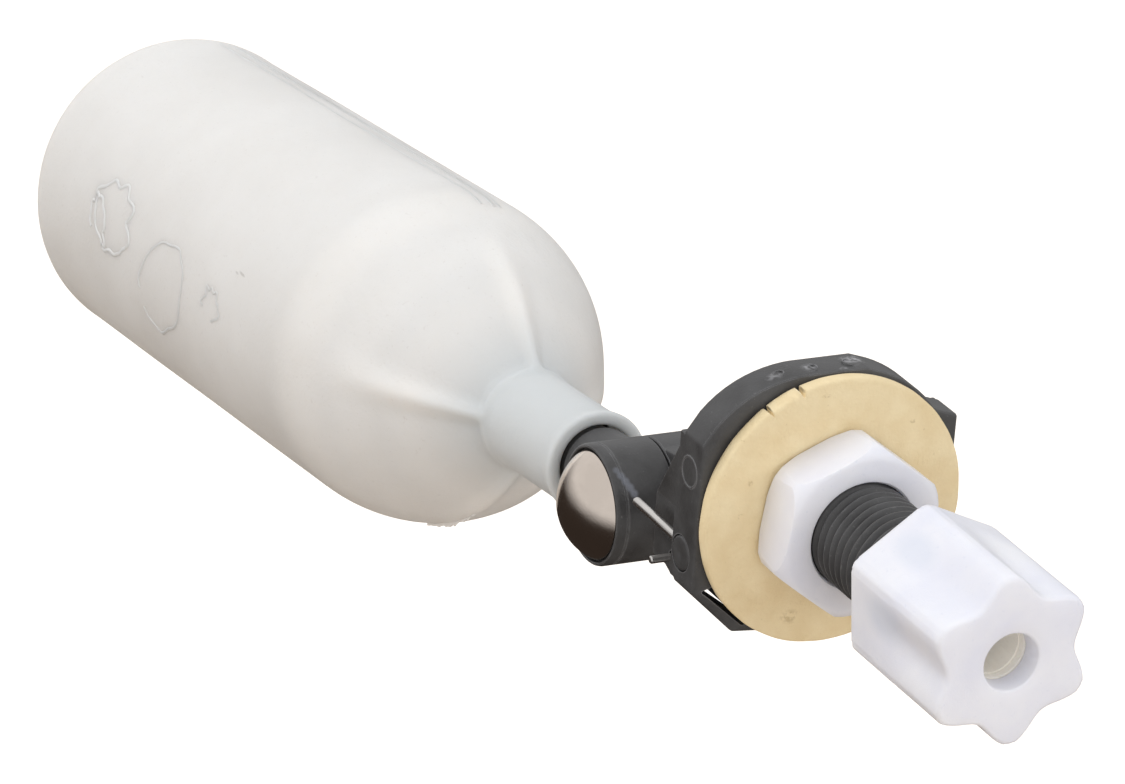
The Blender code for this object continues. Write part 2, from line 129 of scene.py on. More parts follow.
# %% Floor and sky
FLOOR_DROP = 0.17
floor_height = cad_box[0][2] - FLOOR_DROP
bpy.ops.mesh.primitive_plane_add(size=8.0, location=(0, 0, floor_height))
floor = bpy.context.object
floor.name = "floor"
floor.visible_glossy = False
pale = bpy.data.materials.new("pale floor")
pale.use_nodes = True
pale_shader = pale.node_tree.nodes["Principled BSDF"]
pale_shader.inputs["Base Color"].default_value = (0.66, 0.585, 0.51, 1)
pale_shader.inputs["Roughness"].default_value = 1.0
pale_shader.inputs["Specular IOR Level"].default_value = 0.0
pale_shader.inputs["Emission Strength"].default_value = 0.7
seen = pale.node_tree.nodes.new("ShaderNodeLightPath")
pale.node_tree.links.new(seen.outputs["Is Camera Ray"], pale_shader.inputs["Emission Color"])
floor.data.materials.append(pale)

sky = world.node_tree
direction = sky.nodes.new("ShaderNodeTexCoord")
lean = sky.nodes.new("ShaderNodeVectorMath")
lean.operation = "DOT_PRODUCT"
lean.inputs[1].default_value = (0.24, 0.05, 0.97)
ground_to_sky = sky.nodes.new("ShaderNodeValToRGB")
ground_to_sky.color_ramp.elements[0].position = 0.31
ground_to_sky.color_ramp.elements[0].color = (0.045, 0.034, 0.028, 1)
ground_to_sky.color_ramp.elements[1].position = 0.50
ground_to_sky.color_ramp.elements[1].color = (1, 1, 1, 1)
to_ramp = sky.nodes.new("ShaderNodeMapRange")
to_ramp.inputs["From Min"].default_value = -1.0
sky.links.new(direction.outputs["Generated"], lean.inputs[0])
sky.links.new(lean.outputs["Value"], to_ramp.inputs["Value"])
sky.links.new(to_ramp.outputs[0], ground_to_sky.inputs[0])
sky.links.new(ground_to_sky.outputs[0], sky.nodes["Background"].inputs["Color"])
print("floor", round(floor_height, 4), "m")

# %% [markdown]
# ## Finishes
# Every finish is a Principled shader with patterns that are solid in space, so they need no
# unwrapping. Two effects are shared by most of them, and each is a node group: a cloudy
# mottling that shifts colour and gloss, and a fine grain that a bump turns into texture.

# %% A small set of node helpers
def add_node(tree, kind, **values):
    """A node with its plain input values set by name."""
    node = tree.nodes.new(kind)
    for name, value in values.items():
        node.inputs[name.replace("_", " ")].default_value = value
    return node


def new_group(name, inputs, outputs):
    """A node group with float inputs and their first values, and named outputs."""
    group = bpy.data.node_groups.new(name, "ShaderNodeTree")
    for label, value in inputs.items():
        socket = group.interface.new_socket(label, in_out="INPUT", socket_type="NodeSocketFloat")
        socket.default_value = value
    for label, kind in outputs.items():
        group.interface.new_socket(label, in_out="OUTPUT", socket_type=kind)
    return group, group.nodes.new("NodeGroupInput"), group.nodes.new("NodeGroupOutput")


def use_group(tree, group, **values):
    node = tree.nodes.new("ShaderNodeGroup")
    node.node_tree = group
    for name, value in values.items():
        node.inputs[name.replace("_", " ")].default_value = value
    return node


# %% Shared effect: cloudy mottling with specks
def build_mottling():
    """Clouds are broad and soft, specks are sparse and small. Both are masks from 0 to 1."""
    group, given, result = new_group(
        "mottling", {"Cloud Size": 120.0, "Speck Size": 1500.0, "Speck Share": 0.3},
        {"Clouds": "NodeSocketFloat", "Specks": "NodeSocketFloat"})
    place = group.nodes.new("ShaderNodeTexCoord")
    cloud = add_node(group, "ShaderNodeTexNoise", Detail=4.0, Roughness=0.55)
    speck = add_node(group, "ShaderNodeTexNoise", Detail=2.0, Roughness=0.6)
    spread = add_node(group, "ShaderNodeMapRange", From_Min=0.32, From_Max=0.68)
    pick = add_node(group, "ShaderNodeMapRange", From_Max=0.9)
    links = group.links
    links.new(place.outputs["Object"], cloud.inputs["Vector"])
    links.new(place.outputs["Object"], speck.inputs["Vector"])
    links.new(given.outputs["Cloud Size"], cloud.inputs["Scale"])
    links.new(given.outputs["Speck Size"], speck.inputs["Scale"])
    links.new(cloud.outputs["Fac"], spread.inputs["Value"])
    threshold = group.nodes.new("ShaderNodeMath")
    threshold.operation = "SUBTRACT"
    threshold.inputs[0].default_value = 0.9
    links.new(given.outputs["Speck Share"], threshold.inputs[1])
    links.new(threshold.outputs[0], pick.inputs["From Min"])
    links.new(speck.outputs["Fac"], pick.inputs["Value"])
    links.new(spread.outputs[0], result.inputs["Clouds"])
    links.new(pick.outputs[0], result.inputs["Specks"])
    return group


mottling = build_mottling()
print("group:", mottling.name)

# %% Shared effect: fine moulded grain
def build_grain():
    """A bump from two noises: a soft ripple, as of shrinkage, and a fine tooth."""
    group, given, result = new_group(
        "grain", {"Ripple Size": 250.0, "Ripple Depth": 0.1,
                  "Tooth Size": 4000.0, "Tooth Depth": 0.05},
        {"Normal": "NodeSocketVector"})
    place = group.nodes.new("ShaderNodeTexCoord")
    links = group.links
    normal = None
    for layer, detail in (("Ripple", 2.0), ("Tooth", 3.0)):
        pattern = add_node(group, "ShaderNodeTexNoise", Detail=detail)
        bump = add_node(group, "ShaderNodeBump", Distance=0.0004)
        links.new(place.outputs["Object"], pattern.inputs["Vector"])
        links.new(given.outputs[f"{layer} Size"], pattern.inputs["Scale"])
        links.new(given.outputs[f"{layer} Depth"], bump.inputs["Strength"])
        links.new(pattern.outputs["Fac"], bump.inputs["Height"])
        if normal:
            links.new(normal, bump.inputs["Normal"])
        normal = bump.outputs["Normal"]
    links.new(normal, result.inputs["Normal"])
    return group


grain = build_grain()
print("group:", grain.name)

# %% Shared effect: worn edges, with a painted highlight along them
def build_edge_wear_and_highlight():
    """Where the surface turns sharply, its rounded normal leaves its true one."""
    group, given, result = new_group(
        "edge wear", {"Width": 0.0003, "Amount": 1.0}, {"Wear And Highlight": "NodeSocketFloat"})
    rounded = group.nodes.new("ShaderNodeBevel")
    rounded.samples = 4
    true_normal = group.nodes.new("ShaderNodeNewGeometry")
    compare = group.nodes.new("ShaderNodeVectorMath")
    compare.operation = "DOT_PRODUCT"
    turn = add_node(group, "ShaderNodeMapRange", From_Min=0.995, From_Max=0.80)
    place = group.nodes.new("ShaderNodeTexCoord")
    breaks = add_node(group, "ShaderNodeTexNoise", Scale=600.0, Detail=3.0)
    broken = group.nodes.new("ShaderNodeMath")
    broken.operation = "MULTIPLY"
    scaled = group.nodes.new("ShaderNodeMath")
    scaled.operation = "MULTIPLY"
    links = group.links
    links.new(given.outputs["Width"], rounded.inputs["Radius"])
    links.new(rounded.outputs["Normal"], compare.inputs[0])
    links.new(true_normal.outputs["Normal"], compare.inputs[1])
    links.new(compare.outputs["Value"], turn.inputs["Value"])
    links.new(place.outputs["Object"], breaks.inputs["Vector"])
    links.new(turn.outputs[0], broken.inputs[0])
    links.new(breaks.outputs["Fac"], broken.inputs[1])
    links.new(broken.outputs[0], scaled.inputs[0])
    links.new(given.outputs["Amount"], scaled.inputs[1])
    links.new(scaled.outputs[0], result.inputs["Wear And Highlight"])
    return group


edge_wear_and_highlight = build_edge_wear_and_highlight()
print("group:", edge_wear_and_highlight.name)

# %% [markdown]
# A finish is made by one function from plain values: two tones for the clouds, a tone for the
# specks, a tone for edges that is partly wear and partly painted highlight, a range of gloss and
# a depth of grain. The finishes differ in those numbers, and then each gets what only it has.

# %% One function for a mottled finish
def mix_tones(tree, mask, first, second):
    """Blend two colours by a mask. Each colour is a tuple or another node's output."""
    mix = tree.nodes.new("ShaderNodeMix")
    mix.data_type = "RGBA"
    tree.links.new(mask, mix.inputs["Factor"])
    for label, tone in ((6, first), (7, second)):
        if isinstance(tone, tuple):
            mix.inputs[label].default_value = (*tone, 1.0)
        else:
            tree.links.new(tone, mix.inputs[label])
    return mix.outputs[2]


def finish_of(name, tones, speck, gloss, clouds=120.0, specks=1500.0, share=0.3, ripple=0.1,
              tooth=0.05, tooth_size=4000.0, wear_and_highlight=None, wear_and_highlight_amount=1.0, metallic=0.0):
    """A mottled material. tones are the two cloud colours and gloss the range of roughness."""
    made = bpy.data.materials.new(name)
    made.use_nodes = True
    tree = made.node_tree
    shader = tree.nodes["Principled BSDF"]
    shader.inputs["Metallic"].default_value = metallic
    mottle = use_group(tree, mottling, Cloud_Size=clouds, Speck_Size=specks, Speck_Share=share)
    color = mix_tones(tree, mottle.outputs["Clouds"], *tones)
    color = mix_tones(tree, mottle.outputs["Specks"], color, speck)
    # The edge tone mixed in here is partly wear and partly a painted highlight along edges.
    if wear_and_highlight:
        worn_and_highlighted = use_group(tree, edge_wear_and_highlight, Amount=wear_and_highlight_amount)
        color = mix_tones(tree, worn_and_highlighted.outputs["Wear And Highlight"], color, wear_and_highlight)
    rough = add_node(tree, "ShaderNodeMapRange", To_Min=gloss[0], To_Max=gloss[1])
    tree.links.new(mottle.outputs["Clouds"], rough.inputs["Value"])
    surface = use_group(tree, grain, Ripple_Depth=ripple, Tooth_Depth=tooth, Tooth_Size=tooth_size)
    tree.links.new(color, shader.inputs["Base Color"])
    tree.links.new(rough.outputs[0], shader.inputs["Roughness"])
    tree.links.new(surface.outputs["Normal"], shader.inputs["Normal"])
    return made


# %% The plastics and rubbers
def soften(made, weight, depth_mm, color=(1.0, 0.9, 0.8)):
    """Let light into a plastic: subsurface scattering with its depth in millimetres."""
    shader = made.node_tree.nodes["Principled BSDF"]
    shader.inputs["Subsurface Weight"].default_value = weight
    shader.inputs["Subsurface Radius"].default_value = color
    shader.inputs["Subsurface Scale"].default_value = depth_mm * MM
    return made


# The black plastic's pale edge tone is partly wear and partly a painted highlight on its edges.
black_plastic = finish_of("black plastic", ((0.048, 0.047, 0.048), (0.075, 0.075, 0.077)),
                          (0.16, 0.16, 0.165), (0.34, 0.47), clouds=260.0, specks=2200.0,
                          share=0.24, ripple=0.12, tooth=0.10, tooth_size=3200.0,
                          wear_and_highlight=(0.27, 0.27, 0.28), wear_and_highlight_amount=1.2)
white_nylon = soften(finish_of("white nylon", ((0.80, 0.81, 0.90), (0.87, 0.875, 0.93)),
                               (0.74, 0.76, 0.86), (0.33, 0.46), clouds=110.0, specks=1600.0,
                               share=0.26, ripple=0.22, tooth=0.06), 0.35, 1.6, (0.9, 0.95, 1.0))
# The gasket's pale cream edge tone is a painted highlight along its rim.
cream_rubber = finish_of("cream gasket rubber", ((0.80, 0.64, 0.38), (0.87, 0.73, 0.47)),
                         (0.52, 0.38, 0.18), (0.72, 0.90), clouds=230.0, specks=1100.0,
                         share=0.20, ripple=0.35, tooth=0.30, tooth_size=2600.0,
                         wear_and_highlight=(0.95, 0.87, 0.66), wear_and_highlight_amount=1.1)
acetal = soften(finish_of("natural acetal", ((0.82, 0.79, 0.72), (0.88, 0.85, 0.79)),
                          (0.74, 0.70, 0.62), (0.35, 0.5)), 0.3, 1.0)
# The emission is a painted glow, standing in for the light that comes through the white nut.
lit_through = acetal.node_tree.nodes["Principled BSDF"]
lit_through.inputs["Emission Color"].default_value = (1.0, 0.95, 0.88, 1)
lit_through.inputs["Emission Strength"].default_value = 0.10
nitrile = finish_of("nitrile rubber", ((0.018, 0.018, 0.018), (0.030, 0.030, 0.030)),
                    (0.10, 0.10, 0.10), (0.6, 0.8), clouds=400.0, tooth=0.2)
print("finishes:", black_plastic.name, white_nylon.name, cream_rubber.name)


# %% [markdown]
# Some marks belong to one place. Handling leaves pale scuffs on the flange's rim and dark stains
# on the gasket. The rest is painted light and shade: a pale streak on the arm's disc is a painted
# reflection of the guide pin, dark paint in the gasket's two cracks is painted shade, and a cool
# tone where the tube nut's flutes begin is painted shade. Each is an ellipsoid in solid
# coordinates, broken up by noise, that mixes in a tone.

# %% Scuffs, stains, painted shade and a painted reflection: soft broken patches at given places
def add_patches(made, tone, places, noise_scale, least=0.42):
    """Each place is (centre, half sizes, strength), in millimetres.

    A patch shows only where the noise is above least, so it is ragged."""
    tree = made.node_tree
    shader = tree.nodes["Principled BSDF"]
    place = tree.nodes.new("ShaderNodeTexCoord")
    breaks = add_node(tree, "ShaderNodeTexNoise", Scale=noise_scale, Detail=4.0)
    tree.links.new(place.outputs["Object"], breaks.inputs["Vector"])
    broken = add_node(tree, "ShaderNodeMapRange", From_Min=least, From_Max=least + 0.16)
    tree.links.new(breaks.outputs["Fac"], broken.inputs["Value"])
    for centre, half_sizes, strength in places:
        near = add_node(tree, "ShaderNodeMapping", Location=Vector(centre) * MM,
                        Scale=Vector(half_sizes) * MM)
        near.vector_type = "TEXTURE"
        reach = tree.nodes.new("ShaderNodeVectorMath")
        reach.operation = "LENGTH"
        mask = add_node(tree, "ShaderNodeMapRange", From_Min=1.0, From_Max=0.45, To_Max=strength)
        mixed = tree.nodes.new("ShaderNodeMath")
        mixed.operation = "MULTIPLY"
        tree.links.new(place.outputs["Object"], near.inputs["Vector"])
        tree.links.new(near.outputs["Vector"], reach.inputs[0])
        tree.links.new(reach.outputs["Value"], mask.inputs["Value"])
        tree.links.new(mask.outputs[0], mixed.inputs[0])
        tree.links.new(broken.outputs[0], mixed.inputs[1])
        under = shader.inputs["Base Color"].links[0].from_socket
        tree.links.new(mix_tones(tree, mixed.outputs[0], under, tone), shader.inputs["Base Color"])


RIM_SCUFFS = (
    ((-4.4, -2.6, 17.1), (0.9, 1.1, 1.2), 0.65), ((-5.2, 3.5, 17.1), (1.3, 1.9, 1.2), 0.8),
    ((-4.1, -7.3, 16.6), (1.0, 1.4, 1.5), 0.35), ((-3.0, 1.2, 17.1), (0.5, 0.7, 1.0), 0.6))
# A painted reflection of the guide pin: a pale streak on the arm's disc.
DISC_PAINTED_REFLECTION = (
    ((-42.9, -6.9, -12.0), (0.6, 0.7, 0.7), 0.30), ((-42.3, -6.6, -12.6), (0.7, 0.7, 0.7), 0.40),
    ((-41.7, -6.2, -13.2), (0.75, 0.7, 0.75), 0.45),
    ((-41.1, -5.8, -13.8), (0.75, 0.7, 0.75), 0.50),
    ((-40.5, -5.4, -14.4), (0.7, 0.7, 0.7), 0.55), ((-39.9, -5.0, -15.0), (0.6, 0.7, 0.6), 0.5))
GASKET_STAINS = (
    ((0.0, -4.8, -13.1), (1.0, 1.5, 1.1), 0.45), ((0.0, -12.6, 1.0), (1.0, 0.5, 0.4), 0.6),
    ((0.0, -11.6, 5.2), (1.0, 0.4, 0.5), 0.5), ((0.0, 9.6, 10.5), (1.0, 0.5, 0.3), 0.5),
    ((0.0, -2.4, 15.2), (1.0, 0.7, 0.3), 0.5), ((0.0, 13.2, -5.0), (1.0, 0.4, 0.8), 0.4))
# Painted shade: dark paint along the gasket's two cracks.
GASKET_CRACK_SHADE = (
    ((-0.9, -9.55, 14.0), (1.3, 0.28, 0.5), 0.95),
    ((-0.9, -5.4, 15.95), (1.3, 0.26, 0.55), 0.95))
# Painted shade: a cool tone in the hollows where the tube nut's flutes begin.
FLUTE_SHADES = (
    ((28.0, -5.0, 7.9), (4.5, 3.0, 2.6), 0.32), ((30.0, -9.4, 0.8), (5.0, 1.8, 3.4), 0.36))
add_patches(black_plastic, (0.42, 0.42, 0.44), RIM_SCUFFS, 1400.0)
add_patches(black_plastic, (0.28, 0.30, 0.36), DISC_PAINTED_REFLECTION, 1200.0, 0.12)
add_patches(cream_rubber, (0.42, 0.29, 0.12), GASKET_STAINS, 1500.0)
add_patches(cream_rubber, (0.10, 0.07, 0.03), GASKET_CRACK_SHADE, 900.0, 0.05)
add_patches(white_nylon, (0.60, 0.66, 0.78), FLUTE_SHADES, 260.0, 0.15)
print("patches added")

# %% [markdown]
# Polished metal is nearly all reflection. The rods are drawn wire, so their marks run along
# them as long fine streaks. The screw's dome is plated, with a little haze in its plating.

# %% The metals
def streaked_metal(name, color, gloss, stretch, depth):
    """A metal whose fine marks are noise stretched by different amounts along each axis."""
    made = finish_of(name, (color, tuple(0.88 * c for c in color)), tuple(0.7 * c for c in color),
                     gloss, clouds=180.0, share=0.2, ripple=0.03, tooth=0.02, metallic=1.0)
    tree = made.node_tree
    shader = tree.nodes["Principled BSDF"]
    place = tree.nodes.new("ShaderNodeTexCoord")
    stretched = add_node(tree, "ShaderNodeMapping", Scale=stretch)
    streaks = add_node(tree, "ShaderNodeTexNoise", Scale=1.0, Detail=3.0)
    bump = add_node(tree, "ShaderNodeBump", Strength=depth, Distance=0.0002)
    tree.links.new(place.outputs["Object"], stretched.inputs["Vector"])
    tree.links.new(stretched.outputs["Vector"], streaks.inputs["Vector"])
    tree.links.new(streaks.outputs["Fac"], bump.inputs["Height"])
    tree.links.new(shader.inputs["Normal"].links[0].from_socket, bump.inputs["Normal"])
    tree.links.new(bump.outputs["Normal"], shader.inputs["Normal"])
    return made


rod_steel = streaked_metal("drawn steel along X", (0.90, 0.87, 0.84), (0.26, 0.38),
                           (150, 5000, 5000), 0.25)
pin_steel = streaked_metal("drawn steel along Y", (0.90, 0.87, 0.84), (0.26, 0.38),
                           (5000, 150, 5000), 0.25)
washer_steel = streaked_metal("pressed steel", (0.66, 0.65, 0.63), (0.22, 0.36),
                              (2500, 2500, 400), 0.2)
bright_plating = streaked_metal("bright plating", (0.92, 0.81, 0.72), (0.13, 0.22),
                                (500, 500, 500), 0.06)
print("metals:", rod_steel.name, bright_plating.name)

# %% [markdown]
# The bottle is polythene that lets some light through. It is warm and milky over the body,
# where the wall is thin and the inside dark, and cooler and clearer at the thick neck.
# A position along the arm decides which, read from solid coordinates turned to the arm.

# %% The bottle's polythene
CLAMP = Vector((-47.3, 0.0, -18.6))
ARM_TILT = math.radians(6.0)
ARM_PLACE = Matrix.Translation(CLAMP * MM) @ Matrix.Rotation(-ARM_TILT, 4, "Y")

milky = soften(finish_of("milky polythene", ((0.83, 0.80, 0.765), (0.89, 0.865, 0.835)),
                         (0.75, 0.71, 0.67), (0.38, 0.52), clouds=38.0, specks=1900.0,
                         share=0.27, ripple=0.30, tooth=0.12, tooth_size=1700.0), 0.55, 4.0,
               (1.0, 0.93, 0.86))
# The raised seams and marks get a lighter tone than the bottle: a painted highlight on them.
raised_milky_painted_highlight = soften(finish_of("raised milky marks with painted highlight", ((0.93, 0.915, 0.89), (0.96, 0.95, 0.93)),
                                (0.88, 0.86, 0.83), (0.30, 0.42), clouds=60.0, tooth=0.1), 0.5, 3.0)


def cool_the_neck(made, body_end, neck_start):
    """Mix in a cooler tone from body_end to neck_start, distances along the arm in metres."""
    tree = made.node_tree
    shader = tree.nodes["Principled BSDF"]
    place = tree.nodes.new("ShaderNodeTexCoord")
    along = add_node(tree, "ShaderNodeMapping", Location=CLAMP * MM, Rotation=(0, -ARM_TILT, 0))
    along.vector_type = "TEXTURE"
    parts = tree.nodes.new("ShaderNodeSeparateXYZ")
    share = add_node(tree, "ShaderNodeMapRange", From_Min=-body_end, From_Max=-neck_start)
    share.interpolation_type = "SMOOTHSTEP"
    tree.links.new(place.outputs["Object"], along.inputs["Vector"])
    tree.links.new(along.outputs["Vector"], parts.inputs[0])
    tree.links.new(parts.outputs["X"], share.inputs["Value"])
    warm = shader.inputs["Base Color"].links[0].from_socket
    tree.links.new(mix_tones(tree, share.outputs[0], warm, (0.63, 0.655, 0.665)),
                   shader.inputs["Base Color"])


cool_the_neck(milky, 0.044, 0.034)
SCRATCH = (
    ((-130.5, -21.1, -18.2), (1.3, 0.5, 0.24), 0.4),
    ((-132.0, -21.2, -18.6), (0.8, 0.5, 0.2), 0.3))
add_patches(milky, (0.30, 0.28, 0.27), SCRATCH, 1500.0, 0.30)
print("bottle finish:", milky.name)

# %% [markdown]
# ## Making pieces
# A moulded or turned piece starts as a drawn line. One vertex is extruded from point to point
# to draw it, and the line is then spun about an axis, or filled and extruded into a plate.
# Sizes are in millimetres here and become metres where the line is drawn.

# %% Select one object, or nothing
def select_only(*objects):
    if bpy.context.object and bpy.context.object.mode != "OBJECT":
        bpy.ops.object.mode_set(mode="OBJECT")
    bpy.ops.object.select_all(action="DESELECT")
    for obj in objects:
        obj.select_set(True)
    if objects:
        bpy.context.view_layer.objects.active = objects[0]


# %% Draw a line, point by point
def draw_line(name, points, closed=False):
    """Leaves the new object in edit mode, with the whole line selected."""
    select_only()
    bpy.ops.mesh.primitive_plane_add(size=MM)
    obj = bpy.context.object
    obj.name = obj.data.name = name
    bpy.ops.object.mode_set(mode="EDIT")
    bpy.ops.mesh.select_all(action="SELECT")
    bpy.ops.mesh.merge(type="CENTER")
    places = [Vector(p) * MM for p in points]
    bpy.ops.transform.translate(value=places[0])
    for here, there in zip(places, places[1:]):
        bpy.ops.mesh.extrude_region_move(TRANSFORM_OT_translate={"value": there - here})
    if closed:
        line = bmesh.from_edit_mesh(obj.data)
        line.verts.ensure_lookup_table()
        bpy.ops.mesh.select_all(action="DESELECT")
        line.verts[0].select_set(True)
        line.verts[-1].select_set(True)
        bmesh.update_edit_mesh(obj.data)
        bpy.ops.mesh.edge_face_add()
    bpy.ops.mesh.select_all(action="SELECT")
    return obj


# %% Clean a mesh: merge doubles, then turn every face outwards
def clean(obj):
    select_only(obj)
    bpy.ops.object.mode_set(mode="EDIT")
    bpy.ops.mesh.select_all(action="SELECT")
    bpy.ops.mesh.remove_doubles(threshold=0.000002)
    bpy.ops.mesh.normals_make_consistent(inside=False)
    bpy.ops.object.mode_set(mode="OBJECT")
    return obj


# %% Spin a profile
SPIN_AXES = {"X": ((1, 0, 0), lambda along, radius: (along, radius, 0)),
             "Y": ((0, 1, 0), lambda along, radius: (0, along, radius))}


def spin_profile(name, profile, axis="X", centre=(0, 0, 0), steps=96, closed=False):
    """Turn (along, radius) points, in millimetres, about an axis through a centre."""
    direction, lay = SPIN_AXES[axis]
    middle = Vector(centre)
    points = [Vector(lay(along, radius)) + middle for along, radius in profile]
    obj = draw_line(name, points, closed)
    bpy.ops.mesh.spin(steps=steps, angle=math.tau, center=middle * MM, axis=direction)
    return clean(obj)


# %% Fill an outline and extrude it into a plate
def plate(name, outline, low, high, axis="Y"):
    """Points are (y, z) for a plate along X, (x, z) along Y and (x, y) along Z."""
    place = {"X": lambda u, v: (low, u, v), "Y": lambda u, v: (u, low, v),
             "Z": lambda u, v: (u, v, low)}
    lift = {"X": (high - low, 0, 0), "Y": (0, high - low, 0), "Z": (0, 0, high - low)}
    obj = draw_line(name, [place[axis](u, v) for u, v in outline], closed=True)
    bpy.ops.mesh.edge_face_add()
    bpy.ops.mesh.extrude_region_move(TRANSFORM_OT_translate={"value": Vector(lift[axis]) * MM})
    return clean(obj)


# %% Modifiers that are applied at once
def apply_modifier(obj, kind, **settings):
    modifier = obj.modifiers.new(kind.lower(), kind)
    for name, value in settings.items():
        setattr(modifier, name, value)
    select_only(obj)
    bpy.ops.object.modifier_apply(modifier=modifier.name)
    return obj


def round_edges(obj, width, segments=3, over=30):
    """Round every edge that turns by more than so many degrees. The width is in millimetres."""
    return apply_modifier(obj, "BEVEL", width=width * MM, segments=segments, limit_method="ANGLE",
                          angle_limit=math.radians(over), harden_normals=False)


def volume_of(obj):
    mesh = bmesh.new()
    mesh.from_mesh(obj.data)
    volume = mesh.calc_volume() / MM ** 3
    mesh.free()
    return volume


def combine(obj, operation, *tools):
    """Join or cut with other pieces, which are used up. A lost bulk stops the script."""
    for tool in tools:
        before = volume_of(obj)
        apply_modifier(obj, "BOOLEAN", operation=operation, object=tool, solver="EXACT")
        least = before if operation == "UNION" else 0.5 * before
        if volume_of(obj) < 0.99 * least:
            raise RuntimeError(f"{operation} of {obj.name} with {tool.name} lost material")
        bpy.data.objects.remove(tool, do_unlink=True)
    return obj


def reshape(obj, rule):
    """Move every vertex by a rule that takes and gives a point in millimetres."""
    for vertex in obj.data.vertices:
        vertex.co = Vector(rule(vertex.co / MM)) * MM
    obj.data.update()
    return obj


def place_mesh(obj, matrix):
    obj.data.transform(matrix)
    obj.data.update()
    return obj


# %% Hand a finished piece to its body
def hand_over(obj, material, body, slot, *nodes, smooth=35):
    """Smooth it, give it its finish, and let it ride on its body in place of CAD nodes."""
    select_only(obj)
    bpy.ops.object.shade_smooth_by_angle(angle=math.radians(smooth))
    obj.data.materials.clear()
    obj.data.materials.append(material)
    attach(obj, body)
    if nodes:
        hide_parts(*nodes)
    print(f"{obj.name}: {len(obj.data.polygons)} faces, rides on {body}")
    return obj


def smooth_step(value):
    value = min(max(value, 0.0), 1.0)
    return value * value * (3 - 2 * value)


# %% [markdown]
# ## The valve body
# The body is one black moulding: a thick round flange with an ear on each side, straps that run
# below the ears to the bottom, brackets behind for the lever's pin, and a long threaded shank.
# The flange is a drawn outline, extruded and rounded. The left shoulder swells out to its ear.

# %% The flange's outline
flange_low, flange_high = -7.2, -2.3
FLANGE_R, FLANGE_TOP, LEFT_SWELL = 17.5, 17.1, 2.45
EAR_Y, EAR_Z = 17.1, 9.5


def from_top(radius, degrees):
    """A (y, z) point at an angle from the top, turning towards +Y."""
    return (radius * math.sin(math.radians(degrees)), radius * math.cos(math.radians(degrees)))


def flange_outline():
    right_side = [(4.0, FLANGE_TOP)] + [from_top(FLANGE_R, degrees) for degrees in range(17, 57, 4)]
    left_side = [(4.0, FLANGE_TOP)]
    for degrees in range(16, 56, 4):
        swell = math.sin(math.radians(min(1.5 * degrees, 90))) ** 1.5
        left_side.append(from_top(FLANGE_TOP + LEFT_SWELL * swell, degrees))
    lower = [(EAR_Y, EAR_Z), (EAR_Y, -EAR_Z), (11.1, -15.3), (8.0, -15.6)]
    lower += [from_top(17.2, degrees) for degrees in (162, 168, 174)]
    return right_side + lower + [(-y, z) for y, z in reversed(left_side + lower)]


flange = plate("valve_flange", flange_outline(), flange_low, flange_high, "X")
round_edges(flange, 0.35, over=24)
print("flange points:", len(flange_outline()))

# %% The see-through slots, which run longer at the back
def slot_draft_rule(point):
    """The slot's lower end slopes, so that it can be seen through from above."""
    if abs(point.y) > 12.0:
        return point
    back = max(0.0, flange_high - point.x) / (flange_high - flange_low)
    return (point.x, point.y - math.copysign(1.3 * back, point.y), point.z - 0.42 * back)


cutters = []
for side in (-1, 1):
    slot_outline = [(side * y, z) for y, z in
                    ((14.2, -8.9), (15.8, -9.4), (10.0, -14.6), (8.8, -13.5))]
    slot = plate(f"slot cutter {side}", slot_outline, flange_low - 2, flange_high + 1, "X")
    reshape(slot, slot_draft_rule)
    cutters.append(round_edges(slot, 0.3, 2))
print("slots:", len(cutters))

# %% The ears, with a sloping gusset behind each
def ear_parts(side):
    """Each part is rounded before it is joined, because a rounded mesh must not cross itself."""
    near, far = sorted((side * 14.9, side * (EAR_Y - 0.02)))
    block = plate(f"ear {side}", [(-8.2, -9.4), (-2.9, -9.4), (-2.9, 9.4), (-8.2, 9.4)],
                  near, far)
    near, far = sorted((side * 15.0, side * (EAR_Y - 0.05)))
    gusset = plate(f"gusset {side}", [(-6.3, 9.1), (-7.2, 9.1), (-13.1, -0.7), (-6.3, -0.7)],
                   near, far)
    return [round_edges(block, 0.28), round_edges(gusset, 0.25)]


def bracket(side):
    """A tongue behind the flange, with a round end about the hinge pin."""
    near, far = sorted((side * 5.4, side * 8.6))
    round_end = [(-17.2 + 2.1 * math.cos(math.radians(a)), -11.9 + 2.1 * math.sin(math.radians(a)))
                 for a in range(90, 271, 15)]
    tongue = plate(f"bracket {side}", [(-6.5, -8.0)] + round_end + [(-6.5, -15.6)], near, far)
    return round_edges(tongue, 0.3)


rear_boss = spin_profile("rear boss", [(-6.2, 0), (-6.2, 5.6), (-8.7, 5.6), (-9.0, 5.3),
                                       (-9.0, 0)])
combine(flange, "UNION", *ear_parts(-1), *ear_parts(1), bracket(-1), bracket(1), rear_boss)
combine(flange, "DIFFERENCE", *cutters)
print("flange with ears:", len(flange.data.polygons), "faces")

